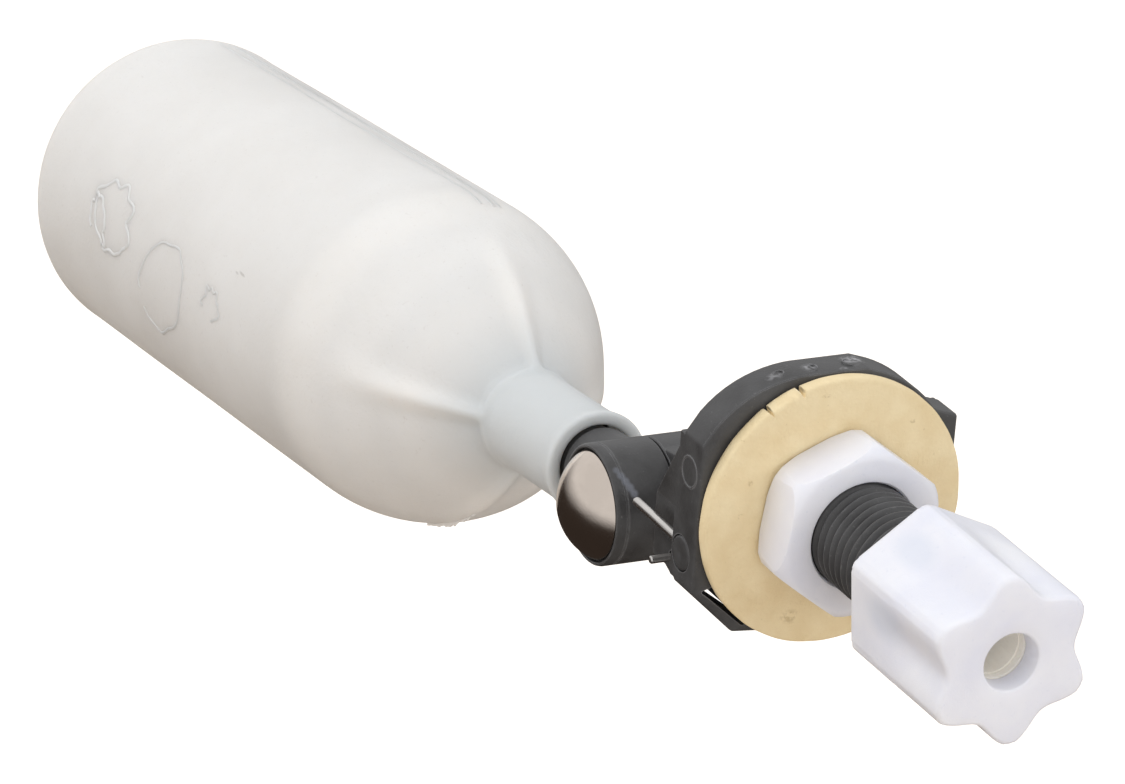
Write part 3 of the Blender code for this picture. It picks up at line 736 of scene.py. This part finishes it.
# %% Holes for the plugs, the guide pins, the hinge pin and the nozzle
holes = []
for side in (-1, 1):
    low, high = sorted((side * 15.0, side * 18.5))
    holes.append(spin_profile(f"plug hole {side}", [(low, 0), (low, 2.3), (high, 2.3), (high, 0)],
                              "Y", (-5.7, 0, -5.6), 48))
    holes.append(spin_profile(f"guide hole {side}", [(-9, 0), (-9, 0.85), (-4, 0.85), (-4, 0)],
                              "X", (0, side * 14.0, -7.0), 32))
holes.append(spin_profile("hinge pin hole", [(-11, 0), (-11, 0.8), (11, 0.8), (11, 0)], "Y",
                          (-17.2, 0, -11.9), 32))
holes.append(spin_profile("nozzle seat", [(-10, 0), (-10, 3.2), (-1.0, 3.2), (-1.0, 0)], "X",
                          steps=48))
combine(flange, "DIFFERENCE", *holes)
print("after drilling:", len(flange.data.polygons), "faces")

# %% [markdown]
# Moulded parts carry small round witness marks, where ejector pins pushed them out of the
# mould. One sits on the upper half of the left ear, and three on the flange's upper rim. They
# are thin rings that stand a tenth of a millimetre proud.

# %% Ejector marks
def witness_ring(name, centre, direction, radius, thick=0.11):
    """A thin torus laid on a face, sunk to half its thickness."""
    select_only()
    bpy.ops.mesh.primitive_torus_add(location=Vector(centre) * MM, major_radius=radius * MM,
                                     minor_radius=thick * MM, major_segments=48, minor_segments=8,
                                     rotation=Vector(direction).to_track_quat("Z", "Y").to_euler())
    ring = bpy.context.object
    ring.name = name
    bpy.ops.object.transform_apply(location=True, rotation=True, scale=True)
    return ring


marks = [witness_ring("ear mark", (-5.05, -17.09, 5.2), (0, -1, 0), 1.9)]
for along, degrees, radius in ((-4.2, -9.0, 0.95), (-4.4, 9.5, 1.0), (-4.4, -22.0, 0.7)):
    swell = math.sin(math.radians(min(max(-1.5 * degrees, 0), 90))) ** 1.5
    rim_radius = FLANGE_R if degrees > 0 else FLANGE_TOP + LEFT_SWELL * swell
    y, z = from_top(rim_radius, degrees)
    if abs(degrees) < 13:
        z = FLANGE_TOP
    marks.append(witness_ring(f"rim mark {degrees}", (along, y, z), (0, y * 0.9, z), radius, 0.09))
select_only(flange, *marks)
bpy.ops.object.join()
hand_over(flange, black_plastic, "body", "black_plastic", "valve_body", smooth=28)

# %% [markdown]
# ## The threaded shank
# The thread is a real helix. A rod is spun with eight rings to each turn of the thread, and each
# vertex then moves in or out by where it stands along the helix. At both ends the thread runs
# out into the plain core.

# %% The shank blank
PITCH, CREST, ROOT = 1.41, 6.6, 5.85
thread_start, thread_end = 0.6, 34.6
rings = int((thread_end - thread_start) / PITCH * 8)
blank = [(-4.0, 3.4), (-4.0, 6.4), (0.2, 6.4), (0.45, ROOT)]
blank += [(thread_start + (thread_end - thread_start) * k / rings, ROOT) for k in range(rings + 1)]
blank += [(35.0, 5.6), (35.0, 5.0), (32.0, 3.3), (27.0, 3.3), (27.0, 1.8), (-1.2, 1.8),
          (-1.2, 3.2), (-3.6, 3.2)]
shank = spin_profile("threaded_shank", blank, steps=80, closed=True)
print("shank blank:", len(shank.data.vertices), "vertices")


# %% Cut the helix
def thread_rule(point):
    radius = math.hypot(point.y, point.z)
    inside = thread_start - 0.01 <= point.x <= thread_end + 0.01 and abs(radius - ROOT) < 0.05
    if not inside:
        return point
    phase = (point.x / PITCH - math.atan2(point.z, point.y) / math.tau) % 1.0
    height = min(1.0, 1.25 * (1 - abs(2 * phase - 1)))
    fade = smooth_step((point.x - thread_start) / PITCH)
    fade *= smooth_step((thread_end - point.x) / PITCH)
    grown = ROOT + (CREST - ROOT) * height * fade
    return (point.x, point.y * grown / radius, point.z * grown / radius)


reshape(shank, thread_rule)
hand_over(shank, black_plastic, "body", "black_plastic", smooth=50)

# %% [markdown]
# ## The gasket
# The gasket is a thick soft ring of cream rubber. Its edge is not perfect: at the upper left a
# torn flap lies between two cracks, and the rim wanders a little all round.

# %% Spin the gasket, then nibble its rim
GASKET_R = (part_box("wall_gasket")[1].z / MM)
gasket_profile = [(0.0, 6.9), (0.0, 9.0), (0.0, 12.0), (0.0, 15.0), (0.0, GASKET_R - 0.55),
                  (-0.05, GASKET_R - 0.25), (-0.25, GASKET_R - 0.05), (-0.7, GASKET_R),
                  (-1.3, GASKET_R), (-1.75, GASKET_R - 0.05), (-1.95, GASKET_R - 0.25),
                  (-2.0, GASKET_R - 0.5), (-2.0, 12.0), (-2.0, 6.9)]
gasket = spin_profile("wall_gasket_rubber", gasket_profile, steps=480, closed=True)
NIBBLES = ((-34.6, 0.55, 0.85), (-32.6, 1.6, 0.30), (-29.5, 2.2, 0.42), (-25.6, 2.0, 0.34),
           (-22.4, 1.6, 0.46), (-19.0, 0.6, 0.90), (-18.0, 0.5, 0.25))


def nibble_rule(point):
    """Each nibble is (degrees from the top, half width in degrees, depth)."""
    radius = math.hypot(point.y, point.z)
    if radius < GASKET_R - 1.0:
        return point
    degrees = math.degrees(math.atan2(point.y, point.z))
    depth = 0.06 + 0.06 * noise.noise(Vector((point.y, point.z, 0)) * 0.35)
    for middle, half_width, bite in NIBBLES:
        away = abs(degrees - middle) / half_width
        front_share = 1.0 if bite > 0.8 else smooth_step((point.x + 1.9) / 1.6)
        depth = max(depth, bite * front_share * smooth_step(1.5 - away))
    shrunk = (radius - depth) / radius
    return (point.x, point.y * shrunk, point.z * shrunk)


reshape(gasket, nibble_rule)
hand_over(gasket, cream_rubber, "body", "cream_gasket", "wall_gasket", smooth=50)

# %% [markdown]
# ## The nuts
# The lock nut is a six-sided nylon nut with softly rounded corners. Its corners are turned off
# by intersecting it with a spun blank, as on a lathe, and its bore fits closely over the thread.

# %% The lock nut
nut_low, nut_high = (corner.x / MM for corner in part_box("lock_nut"))
NUT_FLATS = 19.6
nut_corner = NUT_FLATS / 2 / math.cos(math.radians(30))
hexagon = [(nut_corner * math.cos(math.radians(22.5 + 60 * k)),
            nut_corner * math.sin(math.radians(22.5 + 60 * k))) for k in range(6)]
lock_nut = plate("lock_nut_body", hexagon, nut_low, nut_high, "X")
turning = spin_profile("lock nut turning", [
    (nut_low - 0.01, 0), (nut_low - 0.01, nut_corner - 1.3), (nut_low + 0.7, nut_corner - 0.4),
    (nut_high - 2.0, nut_corner - 0.15), (nut_high - 1.2, nut_corner - 0.4),
    (nut_high - 0.6, nut_corner - 0.8), (nut_high - 0.2, nut_corner - 1.3),
    (nut_high + 0.01, nut_corner - 1.9), (nut_high + 0.01, 0)], steps=144)
combine(lock_nut, "INTERSECT", turning)
round_edges(lock_nut, 0.6, 3, over=28)
bore = spin_profile("lock nut bore", [
    (nut_low - 1, 0), (nut_low - 1, 6.72), (nut_high - 0.3, 6.72), (nut_high - 0.02, 6.95),
    (nut_high + 1, 7.0), (nut_high + 1, 0)], steps=96)
combine(lock_nut, "DIFFERENCE", bore)
hand_over(lock_nut, white_nylon, "lock_nut", "white_nylon", "lock_nut", smooth=32)

# %% [markdown]
# The tube nut is hexagonal at the back and becomes a six-pointed star at the front, where
# scallops give fingers a grip. It starts as a round blank, spun with many rings, and a rule
# presses flats and then scallops into its skin. The lobes keep one radius all along.

# %% Spin the tube nut's blank
BACK, FRONT = (corner.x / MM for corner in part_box("compression_nut"))
LOBE_R, CORNER_R, SCALLOP, LOBE_TURN = 10.8, 11.1, 2.46, math.radians(35.5)
nut_length = FRONT - BACK
skin_steps = 44
blank = [(BACK, 7.3), (BACK, 9.0), (BACK + 0.02, LOBE_R - 0.75), (BACK + 0.2, LOBE_R - 0.28),
         (BACK + 0.6, LOBE_R)]
blank += [(BACK + 0.6 + (nut_length - 1.3) * k / skin_steps, LOBE_R) for k in range(1, skin_steps)]
blank += [(FRONT - 0.7, LOBE_R), (FRONT - 0.45, LOBE_R - 0.05), (FRONT - 0.2, LOBE_R - 0.2),
          (FRONT - 0.05, LOBE_R - 0.42), (FRONT, LOBE_R - 0.7), (FRONT, 7.2), (FRONT, 5.2),
          (FRONT, 3.8), (FRONT - 0.08, 3.6), (FRONT - 0.25, 3.5), (39.8, 3.45), (39.8, 5.7),
          (36.2, 5.7), (36.2, 6.9), (BACK + 0.6, 6.9)]
tube_nut = spin_profile("tube_nut_body", blank, steps=240, closed=True)


# %% Press flats and scallops into it
def lobed_radius(angle, depth):
    """Outer radius of the tube nut: a hexagon at depth 0, a scalloped star at depth 1."""
    sixth = math.pi / 3
    turn = abs((angle - LOBE_TURN + sixth / 2) % sixth - sixth / 2)
    flat = CORNER_R * math.cos(math.pi / 6) / math.cos(math.pi / 6 - turn)
    star = LOBE_R - SCALLOP * math.sin(3 * turn) ** 1.6
    sharp = flat + (star - flat) * depth
    overlap = min(sharp - LOBE_R, 0.12)
    return LOBE_R + overlap - 0.12 if overlap > -0.12 else min(sharp, LOBE_R)


def tube_nut_rule(point):
    radius = math.hypot(point.y, point.z)
    if radius < 7.25 or point.x < BACK - 0.01:
        return point
    share = (point.x - BACK) / nut_length
    depth = smooth_step((share - 0.10) / 0.70)
    wanted = lobed_radius(math.atan2(point.z, point.y), depth)
    inner = 7.2
    blend = min(max((radius - inner) / (LOBE_R - 0.7 - inner), 0), 1)
    scale = 1 + (wanted / LOBE_R - 1) * blend
    return (point.x, point.y * scale, point.z * scale)


reshape(tube_nut, tube_nut_rule)
hand_over(tube_nut, white_nylon, "tube_nut", "white_nylon", "compression_nut", smooth=38)

# %% [markdown]
# Inside the tube nut sit a tapered sleeve and a grab ring. They show only down its hole, so the
# CAD pieces stay and get natural acetal, with a faint glow for the light that comes through the
# white nut. The nozzle and the seat's rubber are kept in the same way.

# %% Finish the small CAD pieces that stay
def dress(node, material):
    """Give a CAD node a better material. Its mesh is left alone."""
    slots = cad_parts[node].material_slots
    for index in range(len(slots)):
        slots[index].material = material
    print("dressed", node, "with", material.name)


for node, material in (("compression_sleeve", acetal), ("grab_ring", acetal),
                       ("orifice_insert", acetal), ("seat_disc", nitrile),
                       ("neck_o_ring", nitrile)):
    dress(node, material)

# %% [markdown]
# ## Plugs and pins
# A round plug closes the mould's side hole in each ear. It sits flush, with a thin gap all round.
# The guide pins run back from the flange beside the lever, and the hinge pin crosses below them.
# They are cut wire, so their ends have a small burr-free chamfer.

# %% Ear plugs
for label, side in (("left", -1), ("right", 1)):
    profile = [(side * (EAR_Y - 1.6), 0), (side * (EAR_Y - 1.6), 2.1), (side * (EAR_Y - 0.1), 2.12),
               (side * (EAR_Y + 0.02), 2.02), (side * (EAR_Y + 0.08), 1.8),
               (side * (EAR_Y + 0.08), 0.5), (side * (EAR_Y + 0.02), 0.3),
               (side * (EAR_Y + 0.02), 0)]
    plug = spin_profile(f"ear_plug_{label}_cap", profile, "Y", (-5.7, 0, -5.6), 64)
    hand_over(plug, black_plastic, "body", "black_plastic", f"ear_plug_{label}")

# %% Guide pins and hinge pin
for label, side in (("left", -1), ("right", 1)):
    wire = [(-4.3, 0), (-4.3, 0.55), (-23.45, 0.55), (-23.65, 0.50), (-23.78, 0.38), (-23.8, 0)]
    pin = spin_profile(f"guide_pin_{label}_wire", wire, "X", (0, side * 14.0, -7.0), 32)
    hand_over(pin, rod_steel, "body", "stainless_steel", f"guide_pin_{label}")
wire = [(-15.0, 0), (-14.97, 0.36), (-14.8, 0.5), (14.8, 0.5), (14.97, 0.36), (15.0, 0)]
hinge_pin = spin_profile("hinge_pin_wire", wire, "Y", (-17.2, 0, -11.9), 32)
hand_over(hinge_pin, pin_steel, "body", "stainless_steel", "hinge_pin")

# %% [markdown]
# ## The lever
# The lever is a fork of two thick cheeks about the hinge pin, joined by a back plate that holds
# the rubber seat, with a beam out to a disc that the float's arm is clamped against.
# Each part is a rounded plate or a spun blank, and a union makes them one moulding.

# %% Cheeks, back plate and beam
LEVER_NEAR, LEVER_FAR, DISC_R = 0.6, 8.0, 7.85
heel = flange_low - 0.3
cheek_outline = [(-22.4, -13.7), (-22.6, -5.6), (-17.6, 3.0), (-15.4, 3.0), (-15.4, -6.5),
                 (-8.4, -10.6), (heel, -11.2), (heel, -14.1), (-14.0, -14.6), (-17.3, -14.3),
                 (-18.9, -13.7)]
lever = round_edges(plate("lever_moulding", cheek_outline, -12.0, -9.0), 0.35)
far_cheek = round_edges(plate("far cheek", cheek_outline, 9.0, 12.0), 0.35)
back_outline = [(-22.3, -13.6), (-22.5, -5.7), (-17.5, 2.9), (-15.6, 2.9), (-19.8, -6.0),
                (-19.8, -13.6)]
back_plate = round_edges(plate("back plate", back_outline, -11.5, 11.5), 0.3)
beam_outline = [(-47.3, -11.4), (-38.0, -9.4), (-21.0, -5.0), (-21.0, -13.6), (-38.0, -20.6),
                (-47.3, -25.8)]
beam = round_edges(plate("beam", beam_outline, LEVER_NEAR + 0.1, LEVER_FAR - 0.1), 0.5)
print("lever plates:", cheek_outline[0], beam_outline[0])

# %% The clamp disc and the seat's cup
disc = spin_profile("clamp disc", [
    (LEVER_NEAR, 0), (LEVER_NEAR, DISC_R - 0.15), (LEVER_NEAR + 0.15, DISC_R),
    (LEVER_FAR - 0.7, DISC_R), (LEVER_FAR - 0.2, DISC_R - 0.2), (LEVER_FAR, DISC_R - 0.7),
    (LEVER_FAR, 0)], "Y", CLAMP, 96)
CLOSE = math.radians(12.0)
PIVOT = Vector((-17.2, 0.0, -11.9))
seat_arm = Matrix.Rotation(-CLOSE, 3, "Y") @ Vector((-11.5 - PIVOT.x, 0.0, -PIVOT.z))
SEAT_PLACE = Matrix.Translation((PIVOT + seat_arm) * MM) @ Matrix.Rotation(-CLOSE, 4, "Y")
cup = spin_profile("seat cup", [(-4.6, 0), (-4.6, 5.6), (-4.0, 6.4), (-1.1, 6.4), (-0.9, 6.2),
                                (-0.9, 0)], steps=64)
place_mesh(cup, SEAT_PLACE)
combine(lever, "UNION", back_plate, far_cheek, beam, disc, cup)

# %% Cut the seat's pocket and the holes
pocket = spin_profile("seat pocket", [(-2.3, 0), (-2.3, 5.3), (1, 5.3), (1, 0)], steps=64)
place_mesh(pocket, SEAT_PLACE)
pin_hole = spin_profile("lever pin hole", [(-13, 0), (-13, 0.8), (13, 0.8), (13, 0)], "Y",
                        PIVOT, 32)
screw_hole = spin_profile("lever screw hole", [(0, 0), (0, 2.3), (9, 2.3), (9, 0)], "Y", CLAMP, 48)
chamfers = [plate(f"cheek chamfer {side}", [(side * 12.6, -11.2), (side * 12.6, -15.4),
                                            (side * 8.4, -15.4)], -14.6, -7.0, "X")
            for side in (-1, 1)]
combine(lever, "DIFFERENCE", pocket, pin_hole, screw_hole, *chamfers)
hand_over(lever, black_plastic, "lever", "black_plastic", "lever", smooth=30)

# %% [markdown]
# ## The float's arm
# The arm has a disc like the lever's, with a rounded bead round the recess for the screw's head.
# Behind it a stepped spigot plugs into the bottle's neck, with a groove for an O-ring.
# It is made about the clamp's axis with the arm level, and is then tilted into place.

# %% Disc and spigot
ARM_NEAR, ARM_FAR = -8.0, 0.3
arm = spin_profile("float_arm_moulding", [
    (ARM_NEAR + 0.9, 0), (ARM_NEAR + 0.7, 7.25), (ARM_NEAR + 0.1, 7.3), (ARM_NEAR, 7.42),
    (ARM_NEAR + 0.05, 7.6), (ARM_NEAR + 0.25, 7.76), (ARM_NEAR + 0.6, DISC_R),
    (ARM_NEAR + 1.35, DISC_R), (ARM_NEAR + 1.45, DISC_R - 0.12), (ARM_NEAR + 1.6, DISC_R - 0.12),
    (ARM_NEAR + 1.7, DISC_R), (ARM_FAR - 0.12, DISC_R), (ARM_FAR, DISC_R - 0.12), (ARM_FAR, 0)],
    "Y", steps=128)
spigot = spin_profile("spigot", [
    (-3.0, 0), (-3.0, 5.2), (-13.6, 5.2), (-13.9, 4.9), (-13.9, 4.6), (-18.0, 4.6), (-18.0, 3.9),
    (-20.2, 3.9), (-20.2, 4.6), (-25.0, 4.6), (-26.0, 3.8), (-26.0, 0)], steps=72)
combine(arm, "UNION", spigot)
relief = spin_profile("lever relief", [(ARM_FAR, 0), (ARM_FAR, 8.2), (9, 8.2), (9, 0)], "Y",
                      steps=96)
screw_way = spin_profile("screw way", [(-9, 0), (-9, 2.3), (1.3, 2.3), (1.3, 0)], "Y", steps=48)
square_way = plate("square way", [(-2.45, -2.45), (2.45, -2.45), (2.45, 2.45), (-2.45, 2.45)],
                   -9.0, ARM_NEAR + 3.3)
combine(arm, "DIFFERENCE", relief, screw_way, square_way)
place_mesh(arm, ARM_PLACE)
hand_over(arm, black_plastic, "float_arm", "black_plastic", "float_arm", smooth=30)

# %% [markdown]
# The carriage screw has a bright dome with a rolled edge, a square under its head that stops it
# turning, and a plain shank that takes the wing nut on the far side.

# %% The domed screw
HEAD_BASE, HEAD_R, HEAD_RISE = -7.6, 7.0, 4.0
sphere = (HEAD_R ** 2 + HEAD_RISE ** 2) / (2 * HEAD_RISE)
dome = []
for k in range(25):
    radius = HEAD_R * math.cos(math.pi / 2 * k / 24) if k < 24 else 0.0
    height = math.sqrt(sphere ** 2 - radius ** 2) - (sphere - HEAD_RISE)
    dome.append((HEAD_BASE - 0.3 - height, radius))
shank_line = [(14.6, 0), (14.6, 1.6), (14.2, 2.0), (HEAD_BASE, 2.0), (HEAD_BASE, 6.8),
              (HEAD_BASE - 0.1, 6.95)]
screw = spin_profile("dome_screw_bright", shank_line + dome, "Y", steps=128)
square = plate("square neck", [(-2.15, -2.15), (2.15, -2.15), (2.15, 2.15), (-2.15, 2.15)],
               HEAD_BASE - 0.2, HEAD_BASE + 2.5)
combine(screw, "UNION", round_edges(square, 0.2))


# %% Roll a thread on its end
def screw_thread_rule(point):
    radius = math.hypot(point.x, point.z)
    if not (9.0 < point.y < 14.0 and radius > 1.9):
        return point
    height = abs(2 * ((point.y / 0.7 - math.atan2(point.z, point.x) / math.tau) % 1.0) - 1)
    cut = 1 - 0.16 * height
    return (point.x * cut, point.y, point.z * cut)


select_only(screw)
bpy.ops.object.mode_set(mode="EDIT")
for k in range(60):
    bpy.ops.mesh.select_all(action="SELECT")
    bpy.ops.mesh.bisect(plane_co=(0, (9.0 + k * 0.0875) * MM, 0), plane_no=(0, 1, 0))
bpy.ops.object.mode_set(mode="OBJECT")
reshape(screw, screw_thread_rule)
place_mesh(screw, ARM_PLACE)
hand_over(screw, bright_plating, "float_arm", "bright_chrome", "dome_screw", smooth=40)

# %% [markdown]
# ## The far side of the clamp
# A plain washer, a split lock washer and a wing nut close the clamp. The split washer's ends
# are cut on a slant. The wing nut is a cone with two bent wings, pressed and softly rounded.

# %% Washers
def washer(name, inner, outer, low, high):
    soft = 0.12
    ring = [(low, inner), (low, outer - soft), (low + soft, outer), (high - soft, outer),
            (high, outer - soft), (high, inner)]
    return spin_profile(name, ring, "Y", CLAMP, 72, closed=True)


flat_washer = washer("clamp_washer_flat", 2.3, 5.0, 8.3, 9.1)
hand_over(flat_washer, washer_steel, "clamp_washers", "stainless_steel", "clamp_washer")
spring_washer = washer("lock_washer_split", 2.3, 3.8, 9.4, 10.3)
slit = plate("slit", [(2.0, -0.25), (4.6, -0.25), (4.6, 0.25), (2.0, 0.25)], -0.9, 0.9)
slant = Matrix.Translation((CLAMP + Vector((0, 9.85, 0))) * MM) @ Matrix.Rotation(0.5, 4, "X")
combine(spring_washer, "DIFFERENCE", place_mesh(slit, slant))
hand_over(spring_washer, washer_steel, "clamp_washers", "stainless_steel", "lock_washer")

# %% Wing nut
hub = spin_profile("wing_nut_pressed", [
    (10.6, 0), (10.6, 3.75), (10.75, 3.9), (13.6, 3.15), (13.9, 3.0), (14.0, 2.8), (14.0, 0)],
    "Y", steps=64)
wing_outline = [(1.8, 11.0), (4.6, 11.2), (6.6, 12.1), (8.4, 13.4), (9.7, 14.9), (10.5, 16.5),
                (10.55, 17.5), (10.0, 18.2), (9.1, 18.35), (8.1, 18.0), (7.2, 17.4), (5.8, 15.7),
                (4.4, 14.2), (3.2, 13.6), (1.8, 13.4)]
for side in (-1, 1):
    wing = plate(f"wing {side}", [(side * x, y) for x, y in wing_outline], -0.8, 0.8, "Z")
    combine(hub, "UNION", round_edges(wing, 0.35, 3, over=50))
combine(hub, "DIFFERENCE", spin_profile("wing nut way", [(10, 0), (10, 2.3), (15, 2.3), (15, 0)],
                                        "Y", steps=48))
place_mesh(hub, Matrix.Translation(CLAMP * MM))
hand_over(hub, washer_steel, "wing_nut", "stainless_steel", "wing_nut", smooth=40)

# %% [markdown]
# ## The bottle float
# The bottle is blow moulded: a soft tube of plastic is closed in a two-part mould and blown
# out. So it has a round side, a shoulder that runs up to a narrow neck, a pushed-in base, seams
# where the mould parted, and webs on the shoulder where the plastic folded beside the neck.
# Its profile is spun along the arm, outer wall first and then the inner one.

# %% The bottle's outer profile
BOTTLE_R, NECK_R, NECK_BORE = 23.1, 6.6, 5.2
NECK_END, SHOULDER_START, SHOULDER_END, BASE = 14.2, 36.0, 68.0, 162.0
BASE_ROUND = 6.0


def side_radius(along):
    """Outer radius of the neck, the shoulder and the side, by distance along the arm."""
    if along < SHOULDER_START:
        return NECK_R
    left = max(0.0, (SHOULDER_END - along) / (SHOULDER_END - SHOULDER_START))
    return BOTTLE_R - (BOTTLE_R - NECK_R - 0.2) * left ** 2.1


lip = [(NECK_END + 0.25, 5.35), (NECK_END + 0.05, 5.6), (NECK_END, 6.0), (NECK_END + 0.02, 6.6),
       (NECK_END + 0.15, 6.95), (NECK_END + 0.5, 7.1), (NECK_END + 1.1, 7.05),
       (NECK_END + 1.9, 6.85), (NECK_END + 3.0, 6.72)]
neck = [(along, NECK_R + 0.1) for along in (20, 23, 26, 29, 31, 32.5, 33.5)]
neck += [(34.1, 6.85), (34.5, 7.0), (35.0, 7.0), (35.5, 6.9)]
shoulder = [(SHOULDER_START + 0.5 * k, side_radius(SHOULDER_START + 0.5 * k)) for k in range(1, 64)]
straight = [(SHOULDER_END + 2.2 * k, BOTTLE_R) for k in range(0, 40)]
base_corner = [(BASE - BASE_ROUND + BASE_ROUND * math.sin(math.radians(a)),
                BOTTLE_R - BASE_ROUND + BASE_ROUND * math.cos(math.radians(a)))
               for a in range(0, 91, 9)]
base_push = [(BASE, 15.0), (BASE - 0.2, 13.0), (BASE - 0.9, 11.0), (BASE - 1.5, 8.0),
             (BASE - 1.9, 4.0), (BASE - 2.0, 0.0)]
outer = lip + neck + shoulder + straight + base_corner + base_push
inner = [(BASE - 3.2, 0), (BASE - 2.8, 8), (BASE - 1.6, 14), (BASE - 2.4, 18), (BASE - 6, 21.9),
         (SHOULDER_END, 21.9), (56, 19.9), (48, 15.9), (42, 11.1), (38.5, 7.6), (36, NECK_BORE),
         (NECK_END + 1.0, NECK_BORE)]
bottle = spin_profile("bottle_shell", [(-s, r) for s, r in outer + inner], steps=208, closed=True)
print("bottle:", len(bottle.data.polygons), "faces")

# %% [markdown]
# The webs stand where the mould met and square to it. Each is a soft ridge on the shoulder that
# starts at the neck and fades out. The side is not quite round either: blown walls wander.

# %% Press the webs and the wandering of the wall
SEAM_TURN = 9.0
WEBS = ((8.0, 1.5), (99.0, 1.0), (189.0, 1.5), (280.0, 1.7))


def around_arm(point):
    """Degrees about the arm from the top towards +Y."""
    return math.degrees(math.atan2(point.y, point.z))


def bottle_rule(point):
    along, radius = -point.x, math.hypot(point.y, point.z)
    if radius < 6.0 or along > BASE - 1.0 or radius < side_radius(along) - 0.8:
        return point
    turn = around_arm(point)
    lift = 0.0
    for middle, height in WEBS:
        away = (turn - middle + 180) % 360 - 180
        half_width = 0.8 + 0.10 * max(0.0, along - 34)
        across = math.radians(away) * radius
        ends = smooth_step((along - 34.0) / 2.5) * (1 - smooth_step((along - 38.0) / 20.0))
        lift += height * ends * math.exp(-(across / half_width) ** 2)
    body_share = smooth_step((along - 44) / 20) * smooth_step((BASE - along) / 10)
    lift -= 0.10 * body_share * (1 + noise.noise(Vector((along * 0.03, turn * 0.02, 4.0))))
    grown = (radius + lift) / radius
    return (point.x, point.y * grown, point.z * grown)


reshape(bottle, bottle_rule)
place_mesh(bottle, ARM_PLACE)
hand_over(bottle, milky, "float", "milky_polythene", "float_bottle", smooth=50)


# %% [markdown]
# The parting seams are low raised lines along the side, and at the bottom of the shoulder a thin
# ragged fin of flash was left. Raised oval mould marks lie on the side. Lines on the skin are
# drawn from point to point, made a round wire, and sunk in it until only their backs show.

# %% A wire on the bottle's skin
def skin_point(along, turn, lift=0.0):
    """A point on the skin by distance along the arm and degrees about it."""
    radius = side_radius(along) + lift
    return Vector((-along, *from_top(radius, turn)))


def skin_wire(name, points, thick):
    """Draw a line, turn it into a curve with a round bevel, and back into a mesh."""
    wire = draw_line(name, points)
    select_only(wire)
    bpy.ops.object.convert(target="CURVE")
    wire = bpy.context.object
    wire.data.bevel_depth = thick * MM
    wire.data.bevel_resolution = 2
    wire.data.use_fill_caps = True
    bpy.ops.object.convert(target="MESH")
    wire = bpy.context.object
    wire.name = name
    return clean(wire)


# %% Parting seams
seams = []
for turn, thick in ((13.0, 0.55), (18.6, 0.60), (21.0, 0.45), (SEAM_TURN + 180, 0.35)):
    stations = [62 + 2.5 * k for k in range(38)]
    line = [skin_point(along, turn + 1.1 * noise.noise(Vector((along * 0.05, turn, 0))),
                       -0.08 - 0.90 * thick) for along in stations]
    seams.append(skin_wire(f"seam {turn:.0f}", line, thick))
print("seams:", len(seams))


# %% Mould marks: wobbly ovals on the side, with no lettering
def oval_mark(name, centre, first, second, wobble, thick, arc=1.0, seed=0):
    """centre is (along, turn), and first and second are its half axes as (along, turn) steps."""
    points = []
    count = 72
    for k in range(int(count * arc) + 1):
        angle = math.tau * k / count
        around = Vector((2.2 * math.cos(angle), 2.2 * math.sin(angle), seed))
        reach = 1 + wobble * noise.noise(around)
        along = centre[0] + reach * (first[0] * math.cos(angle) + second[0] * math.sin(angle))
        turn = centre[1] + reach * (first[1] * math.cos(angle) + second[1] * math.sin(angle))
        points.append(skin_point(along, turn, -0.09 - 0.72 * thick))
    return skin_wire(name, points, thick)


seams.append(oval_mark("mark one", (128.4, 283.0), (6.2, -4.0), (2.5, 11.7), 0.35, 0.42, seed=1))
seams.append(oval_mark("mark two", (108.5, 270.5), (8.0, -5.5), (0.0, 16.7), 0.12, 0.34, 0.94, 2))
seams.append(oval_mark("mark three", (90.0, 277.0), (2.6, -2.0), (1.2, 5.0), 0.6, 0.36, 0.8, 3))
seams.append(oval_mark("mark four", (133.5, 278.0), (2.2, -3.0), (2.0, 9.0), 0.5, 0.36, 0.7, 4))

# %% Flash under the shoulder
random.seed(7)
stations = [37.5 + 0.5 * k for k in range(44)]
fin_root = [(-along, side_radius(along) - 0.5) for along in stations]
fin_edge = []
for k, along in enumerate(stations):
    reach = 0.35 + 0.9 * smooth_step((along - 38) / 6) * (1 - smooth_step((along - 50) / 9))
    fin_edge.append((-along, side_radius(along) + reach * random.uniform(0.55, 1.0)))
fin = plate("flash", fin_root + fin_edge[::-1], -0.09, 0.09)
place_mesh(fin, Matrix.Rotation(-math.radians(SEAM_TURN + 180), 4, "X"))
select_only(*seams, fin)
bpy.ops.object.join()
skin_marks = bpy.context.object
skin_marks.name = skin_marks.data.name = "bottle_seams_and_marks"
place_mesh(skin_marks, ARM_PLACE)
hand_over(skin_marks, raised_milky_painted_highlight, "float", "milky_polythene", smooth=60)
